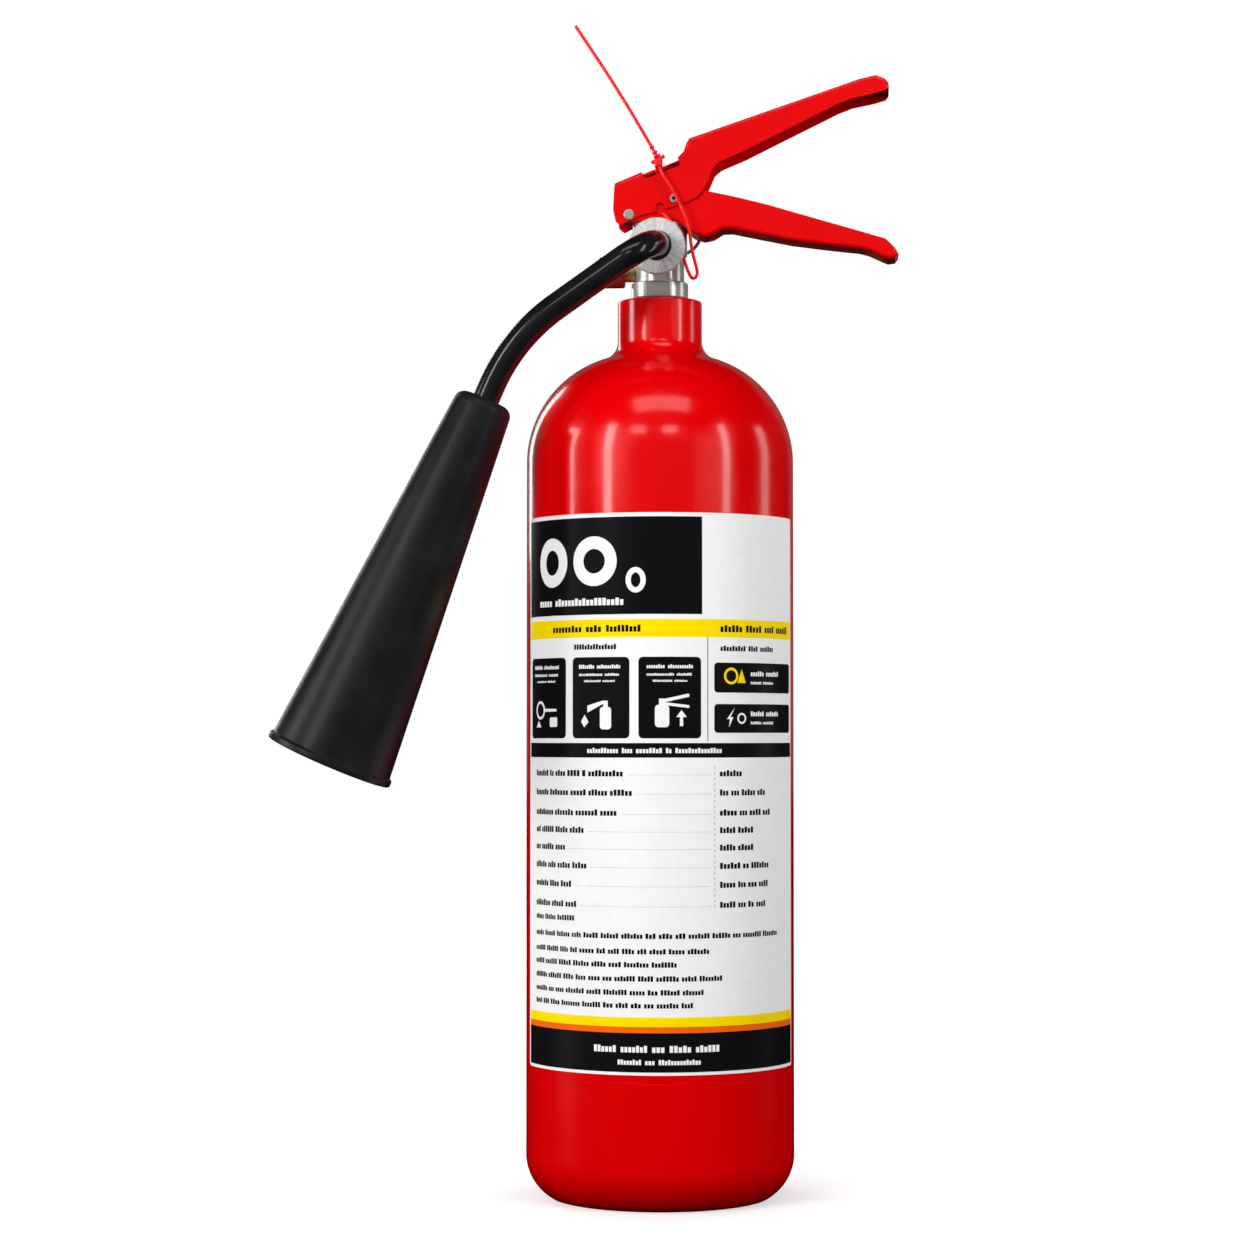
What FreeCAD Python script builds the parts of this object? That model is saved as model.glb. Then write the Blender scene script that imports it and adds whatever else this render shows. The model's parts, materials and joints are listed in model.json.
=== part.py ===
import FreeCAD, Part
import math
import os
import Sketcher

# A carbon dioxide fire extinguisher: +Z up, the origin on the floor at the cylinder's axis,
# the handles towards +X, the discharge horn towards -X, the outlet and the label towards -Y.

doc = FreeCAD.newDocument("fire_extinguisher")
sheet = doc.addObject("Spreadsheet::Sheet", "Sizes")

# The driving dimensions, in millimetres and degrees: alias, value, meaning.
SIZES = [
    ("shell_radius", 68.0, "outer radius of the cylinder"),
    ("shell_wall", 4.0, "wall of the cylinder"),
    ("shell_height", 427.6, "height at which the dome would close"),
    ("dome_radius", 55.6, "profile radius of the dome"),
    ("heel_radius", 25.0, "profile radius at the foot"),
    ("heel_drop", 3.0, "height that the flat foot takes off the heel"),
    ("foot_recess", 10.0, "depth of the hollow under the foot"),
    ("foot_radius", 48.0, "radius of that hollow at the floor"),
    ("neck_radius", 21.5, "outer radius of the neck"),
    ("neck_rise", 27.4, "height of the neck over the dome"),
    ("neck_fillet", 10.0, "blend between the dome and the neck"),
    ("neck_lip", 1.2, "round of the neck's upper edge"),
    ("neck_bore", 12.6, "radius of the threaded bore in the neck"),
    ("label_bottom", 68.1, "lower edge of the label"),
    ("label_height", 274.2, "height of the label"),
    ("label_angle", 147.2, "angle that the label covers"),
    ("label_start", 200.9, "angle at which the label begins, from +X"),
    ("label_thick", 0.22, "thickness of the label"),
    ("skin_gap", 0.03, "space between two skins that lie on each other"),
    ("fit_gap", 0.05, "radial space between two pieces that fit together"),
    ("run_gap", 0.3, "space between pieces that pass each other"),
    ("seal_thick", 1.2, "thickness of the neck seal"),
    ("plug_radius", 12.5, "radius of the valve's lower thread and body"),
    ("plug_length", 31.2, "length of the valve below its collar"),
    ("collar_radius", 14.5, "radius of the valve's collar"),
    ("collar_height", 8.3, "height of the collar"),
    ("collar_flat", 13.2, "half the distance across the collar's flats"),
    ("waist_height", 13.5, "height of the body over the collar"),
    ("head_radius", 14.0, "radius of the valve's head"),
    ("head_height", 17.0, "height of the valve's head"),
    ("chamber_radius", 6.5, "radius of the spring chamber"),
    ("chamber_top", 19.0, "depth of the valve seat below the head's top"),
    ("gallery_radius", 4.0, "radius of the passage over the seat"),
    ("gallery_top", 11.0, "depth of that passage's top below the head's top"),
    ("gland_radius", 5.0, "radius of the gland's bore"),
    ("gland_depth", 10.0, "depth of the gland's bore"),
    ("gland_head", 7.0, "radius of the gland nut's head"),
    ("gland_head_thick", 1.3, "thickness of the gland nut's head"),
    ("stem_seal_height", 2.0, "height of the stem's packing"),
    ("stem_radius", 2.8, "radius of the valve stem"),
    ("stem_rise", 7.7, "height of the stem over the valve's head"),
    ("poppet_radius", 5.5, "radius of the stem's poppet"),
    ("poppet_height", 3.6, "height of the poppet"),
    ("disc_height", 1.1, "height of the soft valve disc"),
    ("guide_radius", 2.0, "radius of the stem's guide inside the spring"),
    ("guide_length", 16.0, "length of that guide"),
    ("spring_radius", 4.6, "mean radius of the spring"),
    ("spring_wire", 0.6, "radius of the spring's wire"),
    ("spring_length", 21.0, "length of the spring"),
    ("spring_turns", 6.0, "turns of the spring"),
    ("adapter_flange", 9.0, "radius of the siphon adapter's flange"),
    ("adapter_flange_thick", 4.0, "thickness of that flange"),
    ("adapter_bore", 3.0, "radius of the adapter's passage"),
    ("tube_socket", 10.0, "depth of the adapter above the dip tube"),
    ("tube_radius", 5.0, "outer radius of the dip tube"),
    ("tube_wall", 1.0, "wall of the dip tube"),
    ("tube_clear", 6.0, "space under the dip tube"),
    ("outlet_drop", 14.5, "depth of the outlet's axis below the head's top"),
    ("outlet_bore", 3.0, "radius of the outlet's passage"),
    ("nipple_radius", 8.6, "radius of the outlet's nipple"),
    ("nipple_end", 17.0, "distance of the nipple's face from the axis"),
    ("nipple_socket", 8.0, "depth of the swivel's socket in the nipple"),
    ("spigot_radius", 5.0, "radius of the pipe's spigot"),
    ("spigot_length", 5.5, "length of the spigot beyond its flange"),
    ("flange_thick", 2.0, "thickness of the pipe's flange"),
    ("flange_gap", 0.2, "end play of the pipe's flange"),
    ("nut_radius", 14.35, "radius of the swivel nut's disc"),
    ("nut_face", 4.5, "thickness of that disc"),
    ("nut_hub", 10.0, "radius of the nut's hub"),
    ("nut_lip", 0.6, "chamfer of the disc's edge"),
    ("ring_wire", 0.5, "radius of the swivel seal's section"),
    ("groove_half", 0.6, "half the width of that seal's groove"),
    ("pipe_radius", 6.75, "outer radius of the discharge pipe"),
    ("pipe_bore", 4.2, "radius of the pipe's passage"),
    ("pipe_reach", 48.0, "distance of the pipe's plane from the axis"),
    ("elbow_radius", 20.0, "bend radius of the first elbow"),
    ("pipe_slope", 35.0, "angle of the first run below the horizontal"),
    ("pipe_run", 85.65, "distance of the second bend from the outlet's axis"),
    ("bend_radius", 95.0, "radius of the second bend"),
    ("horn_lean", 23.5, "angle of the horn from the vertical"),
    ("horn_start", 33.5, "distance of the horn from the second bend's corner"),
    ("pipe_ring", 7.65, "radius of the seal ring round the pipe"),
    ("pipe_ring_thick", 1.5, "thickness of that ring"),
    ("horn_length", 197.0, "length of the horn"),
    ("horn_top", 14.5, "radius of the horn's upper end"),
    ("horn_mouth", 31.3, "radius of the horn at its mouth"),
    ("horn_rim", 32.7, "radius of the rim"),
    ("rim_height", 3.6, "height of the rim"),
    ("rim_round", 0.9, "round of the rim's edges"),
    ("horn_wall", 2.2, "wall of the horn"),
    ("horn_round", 5.5, "round of the horn's upper edge"),
    ("horn_socket", 16.0, "depth of the horn's socket"),
    ("horn_throat", 24.0, "depth at which the horn opens"),
    ("nozzle_radius", 5.0, "radius of the nozzle insert"),
    ("nozzle_length", 11.0, "length of the nozzle insert"),
    ("nozzle_orifice", 1.5, "radius of the nozzle's orifice"),
    ("relief_height", 10.15, "height of the relief port over the collar's middle"),
    ("relief_bore", 4.5, "radius of the relief port's thread"),
    ("relief_depth", 8.5, "distance of the relief port's floor from the axis"),
    ("relief_port", 2.0, "radius of the passage behind the burst disc"),
    ("burst_thick", 0.4, "thickness of the burst disc"),
    ("relief_neck", 5.0, "radius of the relief plug's head"),
    ("relief_head", 9.0, "length of that head past the cap's face"),
    ("cap_radius", 8.0, "radius of the relief cap"),
    ("cap_start", 18.0, "distance of the cap from the axis"),
    ("cap_length", 13.0, "length of the relief cap"),
    ("cap_round", 1.0, "round of the cap's edge"),
    ("sheet_metal", 1.5, "thickness of the pressed handles"),
    ("lever_half", 13.0, "half the width of the lever"),
    ("handle_half", 11.2, "half the width of the carrying handle"),
    ("pivot_across", -14.9, "place of the pivot along X"),
    ("pivot_rise", 3.2, "height of the pivot over the valve's head"),
    ("pivot_radius", 2.0, "radius of the pivot pin"),
    ("pivot_head", 2.65, "radius of the pivot pin's heads"),
    ("pivot_head_thick", 1.0, "thickness of those heads"),
    ("latch_across", 23.05, "place of the safety pin from the pivot along X"),
    ("latch_rise", 7.9, "height of the safety pin over the pivot"),
    ("latch_radius", 2.1, "radius of the safety pin"),
    ("latch_tip", 1.4, "length of the safety pin's tip past the lever"),
    ("latch_dimple", 0.9, "radius of the dimple in its tip"),
    ("latch_reach", 18.0, "distance of the eye from the lever's middle"),
    ("eye_radius", 3.2, "radius of the pin's eye"),
    ("eye_half", 1.5, "half the thickness of the eye"),
    ("eye_hole", 1.3, "radius of the eye's hole"),
    ("pull_radius", 12.0, "mean radius of the pull ring"),
    ("pull_wire", 0.9, "radius of the pull ring's wire"),
    ("squeeze_angle", 14.0, "travel of the lever"),
    ("tab_half", 4.0, "half the width of the lever's pressing tab"),
    ("tab_foot", 10.4, "length of that tab's foot"),
    ("slot_start", 8.0, "start of the slot in the lever's top, from the pivot"),
    ("slot_length", 19.5, "length of that slot"),
    ("slot_width", 7.5, "width of the lever's slot, from its near side"),
    ("slot_floor", 18.2, "height of the slot's floor over the pivot, where it begins"),
    ("slot_slope", 20.2, "slope of the slot's floor, along the lever's top"),
    ("tab_top", 22.6, "height of the lever's tab over the pivot"),
    ("seal_wire", 0.85, "radius of the security seal's strap"),
    ("tail_wire", 0.9, "radius of the security seal's tail"),
    ("lock_half", 2.0, "half the width of the seal's lock"),
    ("lock_height", 5.0, "height of the seal's lock"),
    ("lock_bottom", 521.5, "height of the lock's lower face"),
    ("lock_across", 0.35, "place of the lock along X"),
    ("lock_out", 14.8, "distance of the lock from the lever's middle"),
]


class Dim:
    """A length that knows its value and the expression that drives it."""

    def __init__(self, value, text):
        self.value = float(value)
        self.text = text

    def combined(self, other, sign, flip=False):
        other = other if isinstance(other, Dim) else Dim(other, "%.6g" % other)
        first, second = (other, self) if flip else (self, other)
        results = {"+": lambda a, b: a + b, "-": lambda a, b: a - b,
                   "*": lambda a, b: a * b, "/": lambda a, b: a / b}
        return Dim(results[sign](first.value, second.value), "(%s %s %s)" % (first.text, sign, second.text))

    def __add__(self, other):
        return self.combined(other, "+")

    def __radd__(self, other):
        return self.combined(other, "+", True)

    def __sub__(self, other):
        return self.combined(other, "-")

    def __rsub__(self, other):
        return self.combined(other, "-", True)

    def __mul__(self, other):
        return self.combined(other, "*")

    def __rmul__(self, other):
        return self.combined(other, "*", True)

    def __truediv__(self, other):
        return self.combined(other, "/")

    def __neg__(self):
        return self.combined(-1, "*")


class Names:
    """The driving dimensions by name."""


d = Names()
for row, (alias, value, meaning) in enumerate(SIZES, start=1):
    sheet.set("A%d" % row, str(value))
    sheet.setAlias("A%d" % row, alias)
    sheet.set("B%d" % row, meaning)
    setattr(d, alias, Dim(value, "Sizes." + alias))
doc.recompute()
for alias, value, meaning in SIZES:
    getattr(d, alias).value = float(sheet.get(alias))

# Heights and places that follow from the driving dimensions.
neck_top = d.shell_height + d.neck_rise
collar_bottom = neck_top + d.seal_thick
valve_bottom = collar_bottom - d.plug_length
waist_bottom = collar_bottom + d.collar_height
head_bottom = waist_bottom + d.waist_height
head_top = head_bottom + d.head_height
seat = head_top - d.chamber_top
outlet = head_top - d.outlet_drop
stem_top = head_top + d.stem_rise
disc_top = seat - d.run_gap
disc_bottom = disc_top - d.disc_height
poppet_bottom = disc_bottom - d.poppet_height
spring_bottom = poppet_bottom - d.spring_length
pivot_z = head_top + d.pivot_rise
latch_x = d.pivot_across + d.latch_across
latch_z = pivot_z + d.latch_rise
foot_bottom = stem_top + d.run_gap
nut_back = d.nipple_end + 2 * d.flange_gap + d.flange_thick
nut_front = nut_back + d.nut_face
relief_z = collar_bottom + d.collar_height / 2 + d.relief_height
PRESS = {"+Z": FreeCAD.Rotation(), "-Y": FreeCAD.Rotation(FreeCAD.Vector(1, 0, 0), 90),
         "+X": FreeCAD.Rotation(FreeCAD.Vector(0, 1, 0), 90),
         "-X": FreeCAD.Rotation(FreeCAD.Vector(0, 1, 0), -90)}
nodes = []


def number(dim):
    return dim.value if isinstance(dim, Dim) else float(dim)


def bind(thing, name, dim):
    """Drives one property from the sheet."""
    if isinstance(dim, Dim):
        thing.setExpression(name, dim.text)
    else:
        thing.setExpression(name, "%.6g" % dim)


def put(thing, x=0, y=0, z=0, turn="+Z"):
    """Places an object, its position driven from the sheet."""
    turned_by = turn if isinstance(turn, FreeCAD.Rotation) else PRESS[turn]
    at = FreeCAD.Vector(number(x), number(y), number(z))
    thing.Placement = FreeCAD.Placement(at, turned_by)
    for axis, dim in zip("xyz", (x, y, z)):
        if isinstance(dim, Dim):
            bind(thing, "Placement.Base." + axis, dim)
    return thing


def node(thing, label):
    """Names a finished sub-part and keeps it for the export."""
    thing.Label = label
    nodes.append(thing)
    return thing


# Part Design helpers

def body(name):
    return doc.addObject("PartDesign::Body", name + "_form")


def sketch(owner, name, points, role="XZ_Plane"):
    """A closed outline of straight lines whose corners are driven from the sheet."""
    made = owner.newObject("Sketcher::SketchObject", name)
    plane = [f for f in owner.Origin.OriginFeatures if f.Role == role][0]
    made.AttachmentSupport = [(plane, "")]
    made.MapMode = "FlatFace"
    corners = [FreeCAD.Vector(number(x), number(y), 0) for x, y in points]
    count = len(corners)
    made.addGeometry([Part.LineSegment(corners[i], corners[(i + 1) % count]) for i in range(count)], False)
    for i in range(count):
        made.addConstraint(Sketcher.Constraint("Coincident", i, 2, (i + 1) % count, 1))
    for i, point in enumerate(points):
        for kind, dim, axis in zip(("DistanceX", "DistanceY"), point, (-2, -1)):
            if abs(number(dim)) < 1e-9:
                made.addConstraint(Sketcher.Constraint("PointOnObject", i, 1, axis))
            else:
                at = made.addConstraint(Sketcher.Constraint(kind, -1, 1, i, 1, number(dim)))
                bind(made, "Constraints[%d]" % at, dim)
    return made


def turned(name, points, cut=False, owner=None):
    """A full turn of a profile of (radius, height) points about the body's Z axis."""
    owner = owner or body(name)
    profile = sketch(owner, name + "_profile", points)
    kind = "PartDesign::Groove" if cut else "PartDesign::Revolution"
    made = owner.newObject(kind, name + ("_groove" if cut else "_turn"))
    made.Profile = profile
    made.ReferenceAxis = (profile, ["V_Axis"])
    made.Angle = 360
    doc.recompute()
    return owner


def pressed(name, points, half):
    """An outline in the XZ plane with a thickness to both sides of it."""
    owner = body(name)
    outline = sketch(owner, name + "_outline", points)
    made = owner.newObject("PartDesign::Pad", name + "_pad")
    made.Profile = outline
    made.Midplane = True
    bind(made, "Length", 2 * half)
    doc.recompute()
    return owner


def rounded(owner, name, rings, size, kind="PartDesign::Fillet"):
    """Rounds or chamfers the circular edges at the given (radius, height) places."""
    base = owner.Tip
    found = []
    for i, edge in enumerate(base.Shape.Edges, start=1):
        spots = edge.discretize(7)
        for radius, height in rings:
            off = [math.hypot(math.hypot(p.x, p.y) - number(radius), p.z - number(height)) for p in spots]
            if max(off) < 0.03:
                found.append("Edge%d" % i)
    if len(found) < len(rings):
        raise RuntimeError("%s: an edge to round is missing" % name)
    made = owner.newObject(kind, name)
    made.Base = (base, sorted(set(found)))
    bind(made, "Radius" if kind.endswith("Fillet") else "Size", size)
    doc.recompute()
    return owner


# Part helpers

def cylinder(name, radius, height, x=0, y=0, z=0, turn="+Z"):
    made = doc.addObject("Part::Cylinder", name)
    bind(made, "Radius", radius)
    bind(made, "Height", height)
    return put(made, x, y, z, turn)


def box(name, low, high):
    made = doc.addObject("Part::Box", name)
    for side, axis in zip(("Length", "Width", "Height"), range(3)):
        bind(made, side, high[axis] - low[axis])
    return put(made, *low)


def cut(name, base, *tools):
    """What is left of a piece after each tool has been taken from it."""
    for i, tool in enumerate(tools):
        made = doc.addObject("Part::Cut", "%s_cut%d" % (name, i))
        made.Base = base
        made.Tool = tool
        base = made
    doc.recompute()
    return base


def fused(name, *pieces):
    made = doc.addObject("Part::MultiFuse", name + "_fuse")
    made.Shapes = list(pieces)
    made.Refine = True
    doc.recompute()
    return made


def free_shape(name, shape, place=None):
    """A sub-part made with Part's own functions from sizes read off the sheet."""
    made = doc.addObject("Part::Feature", name + "_shape")
    made.Shape = shape
    if place:
        made.Placement = place
    return made


def round_wire(points, radii):
    """Straight runs joined by tangent arcs, as one wire."""
    edges = []
    start = points[0]
    for before, corner, after, radius in zip(points, points[1:], points[2:], radii):
        back = (before - corner).normalize()
        on = (after - corner).normalize()
        half = (math.pi - back.getAngle(on)) / 2
        reach = radius * math.tan(half)
        first = corner + back * reach
        last = corner + on * reach
        middle = corner + (back + on).normalize() * (radius / math.cos(half) - radius)
        edges.append(Part.LineSegment(start, first).toShape())
        edges.append(Part.Arc(first, middle, last).toShape())
        start = last
    edges.append(Part.LineSegment(start, points[-1]).toShape())
    return Part.Wire(edges)


def tube(wire, radius):
    """A round bar along a wire."""
    start = wire.OrderedEdges[0]
    at = start.valueAt(start.FirstParameter)
    along = start.tangentAt(start.FirstParameter)
    ring = Part.Wire([Part.makeCircle(radius, at, along)])
    return wire.makePipeShell([ring], True, False)


def strap_radii(points):
    """The largest arc that each corner of a free strap has room for."""
    radii = []
    for before, corner, after in zip(points, points[1:], points[2:]):
        shorter = min((before - corner).Length, (after - corner).Length)
        turn = math.pi - (before - corner).getAngle(after - corner)
        radii.append(0.45 * shorter / math.tan(turn / 2))
    return radii


# The cylinder and what is on it

def foot_sphere(name, extra):
    """The ball that hollows the foot, as large as the hollow's depth and radius ask for."""
    size = (d.foot_radius * d.foot_radius + d.foot_recess * d.foot_recess) / (2 * d.foot_recess)
    made = doc.addObject("Part::Sphere", name)
    bind(made, "Radius", size + extra)
    return put(made, 0, 0, d.foot_recess - size)


def cylinder_shell():
    outer = turned("shell", [(0, -d.heel_drop), (d.shell_radius, -d.heel_drop),
                             (d.shell_radius, d.shell_height), (0, d.shell_height)])
    rounded(outer, "shell_dome", [(d.shell_radius, d.shell_height)], d.dome_radius)
    rounded(outer, "shell_heel", [(d.shell_radius, -d.heel_drop)], d.heel_radius)
    neck_start = d.shell_height - d.dome_radius
    turned("neck", [(0, neck_start), (d.neck_radius, neck_start), (d.neck_radius, neck_top), (0, neck_top)],
           owner=outer)
    across = max(0, d.neck_radius.value - (d.shell_radius.value - d.dome_radius.value))
    meet = d.shell_height.value - d.dome_radius.value + math.sqrt(d.dome_radius.value ** 2 - across ** 2)
    rounded(outer, "neck_blend", [(d.neck_radius, meet)], d.neck_fillet)
    rounded(outer, "neck_edge", [(d.neck_radius, neck_top)], d.neck_lip)
    inner_radius = d.shell_radius - d.shell_wall
    inner_top = d.shell_height - d.shell_wall
    inner_bottom = d.shell_wall - d.heel_drop
    cavity = turned("cavity", [(0, inner_bottom), (inner_radius, inner_bottom), (inner_radius, inner_top),
                               (0, inner_top)])
    rounded(cavity, "cavity_dome", [(inner_radius, inner_top)], d.dome_radius - d.shell_wall)
    rounded(cavity, "cavity_heel", [(inner_radius, inner_bottom)], d.heel_radius - d.shell_wall)
    hollow = cut("cavity", cavity, foot_sphere("cavity_foot", d.shell_wall))
    bore = cylinder("neck_hole", d.neck_bore, neck_top, z=2 * d.foot_recess)
    floor = cylinder("shell_floor", 2 * d.shell_radius, 2 * d.heel_drop, z=-2 * d.heel_drop)
    node(cut("shell", outer, floor, foot_sphere("shell_foot", 0), hollow, bore), "cylinder_shell")


def label():
    inner = d.shell_radius + d.skin_gap
    ring = cylinder("label_sector", inner + d.label_thick, d.label_height, z=d.label_bottom)
    bind(ring, "Angle", d.label_angle)
    core = cylinder("label_core", inner, d.label_height, z=d.label_bottom)
    sheet_of = cut("label", ring, core)
    sheet_of.Placement.Rotation = FreeCAD.Rotation(FreeCAD.Vector(0, 0, 1), d.label_start.value)
    node(sheet_of, "label")


# The valve

def valve_body():
    bore = d.gland_radius
    neck = d.stem_radius + d.fit_gap
    gallery_top = head_top - d.gallery_top
    gland_floor = head_top - d.gland_depth
    profile = [
        (d.chamber_radius, valve_bottom), (d.plug_radius, valve_bottom), (d.plug_radius, collar_bottom),
        (d.collar_radius, collar_bottom), (d.collar_radius, waist_bottom), (d.plug_radius, waist_bottom),
        (d.plug_radius, head_bottom), (d.head_radius, head_bottom), (d.head_radius, head_top),
        (bore, head_top), (bore, gland_floor), (neck, gland_floor), (neck, gallery_top),
        (d.gallery_radius, gallery_top), (d.gallery_radius, seat), (d.chamber_radius, seat),
    ]
    main = turned("valve", profile)
    rounded(main, "head_edges", [(d.head_radius, head_bottom), (d.head_radius, head_top)], d.nut_lip,
            "PartDesign::Chamfer")
    rounded(main, "collar_edges", [(d.collar_radius, collar_bottom), (d.collar_radius, waist_bottom)], d.nut_lip,
            "PartDesign::Chamfer")
    socket_floor = d.nipple_end - d.nipple_socket
    nipple = cylinder("nipple", d.nipple_radius, d.nipple_socket, y=-socket_floor, z=outlet, turn="-Y")
    whole = fused("valve", main, nipple)
    passage = cylinder("outlet_hole", d.outlet_bore, d.nipple_end, z=outlet, turn="-Y")
    socket = cylinder("swivel_hole", d.spigot_radius + d.fit_gap, 2 * d.nipple_socket, y=-socket_floor, z=outlet,
                      turn="-Y")
    port = cylinder("relief_hole", d.relief_port, d.head_radius, z=relief_z, turn="-X")
    thread = cylinder("relief_thread", d.relief_bore, d.head_radius, x=-d.relief_depth, z=relief_z, turn="-X")
    flats = []
    for side, low in (("near", -2 * d.collar_radius), ("far", d.collar_flat)):
        high = low + 2 * d.collar_radius - d.collar_flat
        flats.append(box("flat_" + side, (-d.collar_radius, low, collar_bottom + d.nut_lip),
                         (1 * d.collar_radius, high, waist_bottom - d.nut_lip)))
    node(cut("valve", whole, passage, socket, port, thread, *flats), "valve_body")


def neck_seal():
    profile = [(d.neck_bore, neck_top), (d.head_radius, neck_top), (d.head_radius, collar_bottom),
               (d.neck_bore, collar_bottom)]
    node(turned("neck_seal", profile), "neck_seal")


def siphon():
    """The adapter that closes the spring chamber, and the dip tube in it."""
    outer = d.chamber_radius - d.fit_gap
    flange_bottom = valve_bottom - d.adapter_flange_thick
    socket_top = spring_bottom - d.tube_socket
    socket = d.tube_radius + d.fit_gap
    profile = [(socket, flange_bottom), (d.adapter_flange, flange_bottom), (d.adapter_flange, valve_bottom),
               (outer, valve_bottom), (outer, spring_bottom), (d.adapter_bore, spring_bottom),
               (d.adapter_bore, socket_top), (socket, socket_top)]
    node(turned("siphon_adapter", profile), "siphon_adapter")
    low = d.foot_recess + d.shell_wall + d.tube_clear
    inner = d.tube_radius - d.tube_wall
    profile = [(inner, low), (d.tube_radius, low), (d.tube_radius, socket_top), (inner, socket_top)]
    node(turned("dip_tube", profile), "dip_tube")


def stem():
    """The valve stem, its soft disc, its spring, its packing and its gland nut."""
    profile = [(0, poppet_bottom - d.guide_length), (d.guide_radius, poppet_bottom - d.guide_length),
               (d.guide_radius, poppet_bottom), (d.poppet_radius, poppet_bottom), (d.poppet_radius, disc_bottom),
               (d.stem_radius, disc_bottom), (d.stem_radius, stem_top), (0, stem_top)]
    made = turned("valve_stem", profile)
    rounded(made, "stem_tip", [(d.stem_radius, stem_top)], d.nut_lip, "PartDesign::Chamfer")
    node(made, "valve_stem")
    hole = d.stem_radius + d.skin_gap
    rim = d.poppet_radius - d.fit_gap
    node(turned("valve_disc", [(hole, disc_bottom), (rim, disc_bottom), (rim, disc_top), (hole, disc_top)]),
         "valve_disc")
    wire = d.spring_wire.value
    coil_height = d.spring_length.value - 2 * wire
    path = Part.makeHelix(coil_height / d.spring_turns.value, coil_height, d.spring_radius.value)
    ring = Part.Wire([Part.makeCircle(wire, FreeCAD.Vector(d.spring_radius.value, 0, 0), FreeCAD.Vector(0, 1, 0))])
    coil = Part.Wire(path).makePipeShell([ring], True, True)
    place = FreeCAD.Placement(FreeCAD.Vector(0, 0, spring_bottom.value + wire), FreeCAD.Rotation())
    node(free_shape("valve_spring", coil, place), "valve_spring")
    gland_floor = head_top - d.gland_depth
    seal_top = gland_floor + d.stem_seal_height
    hole = d.stem_radius + d.fit_gap
    rim = d.gland_radius - d.fit_gap
    node(turned("stem_seal", [(hole, gland_floor), (rim, gland_floor), (rim, seal_top), (hole, seal_top)]),
         "stem_seal")
    under = head_top + d.sheet_metal
    top = under + d.gland_head_thick
    nut = turned("gland_nut", [(hole, seal_top), (rim, seal_top), (rim, under), (d.gland_head, under),
                               (d.gland_head, top), (hole, top)])
    node(nut, "gland_nut")


def relief():
    """The burst disc, the plug that holds it and the plug's plastic cap."""
    rim = d.relief_bore - d.fit_gap
    disc = cylinder("burst", rim, d.burst_thick, x=-d.relief_depth, z=relief_z, turn="-X")
    node(disc, "burst_disc")
    start = d.relief_depth + d.burst_thick
    shoulder = d.plug_radius + d.fit_gap
    end = d.cap_start + d.relief_head
    profile = [(d.relief_port, 0), (rim, 0), (rim, shoulder - start), (d.relief_neck, shoulder - start),
               (d.relief_neck, end - start), (d.relief_port, end - start)]
    plug = put(turned("relief_plug", profile), -start, 0, relief_z, "-X")
    node(plug, "relief_plug")
    socket = d.relief_neck + d.fit_gap
    profile = [(socket, 0), (d.cap_radius, 0), (d.cap_radius, d.cap_length), (0, d.cap_length), (0, d.relief_head),
               (socket, d.relief_head)]
    cap = turned("relief_cap", profile)
    rounded(cap, "cap_edges", [(d.cap_radius, 0), (d.cap_radius, d.cap_length)], d.cap_round)
    node(put(cap, -d.cap_start, 0, relief_z, "-X"), "relief_cap")


# The discharge pipe and horn, which swing about the outlet

def swivel():
    """The nut that holds the pipe's flange, and the swivel's ring seals."""
    hub_start = d.head_radius + d.flange_gap
    inside = d.nipple_radius + d.fit_gap
    hole = d.pipe_radius + d.fit_gap
    profile = [(inside, hub_start), (d.nut_hub, hub_start), (d.nut_hub, nut_back), (d.nut_radius, nut_back),
               (d.nut_radius, nut_front), (hole, nut_front), (hole, nut_back), (inside, nut_back)]
    nut = turned("swivel_nut", profile)
    rounded(nut, "nut_edges", [(d.nut_radius, nut_back), (d.nut_radius, nut_front)], d.nut_lip,
            "PartDesign::Chamfer")
    node(put(nut, 0, 0, outlet, "-Y"), "swivel_nut")
    ring = doc.addObject("Part::Torus", "o_ring")
    bind(ring, "Radius1", d.spigot_radius - d.ring_wire)
    bind(ring, "Radius2", d.ring_wire)
    flange_back = d.nipple_end + d.flange_gap
    put(ring, 0, -(flange_back - d.spigot_length / 2), outlet, "-Y")
    node(ring, "swivel_seal")
    front = nut_front + d.run_gap
    bore = d.pipe_radius + d.skin_gap
    profile = [(bore, front), (d.pipe_ring, front), (d.pipe_ring, front + d.pipe_ring_thick),
               (bore, front + d.pipe_ring_thick)]
    node(put(turned("pipe_ring", profile), 0, 0, outlet, "-Y"), "pipe_ring")


def pipe_directions():
    slope = math.radians(d.pipe_slope.value)
    lean = math.radians(d.horn_lean.value)
    first = FreeCAD.Vector(-math.cos(slope), 0, -math.sin(slope))
    second = FreeCAD.Vector(-math.sin(lean), 0, -math.cos(lean))
    return first, second


def horn_place():
    """Where the horn begins, and the turn that lays its axis along the pipe's last run."""
    first, second = pipe_directions()
    corner = FreeCAD.Vector(0, -d.pipe_reach.value, outlet.value) + first * d.pipe_run.value
    start = corner + second * d.horn_start.value
    return FreeCAD.Placement(start, FreeCAD.Rotation(FreeCAD.Vector(0, 0, 1), second))


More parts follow.
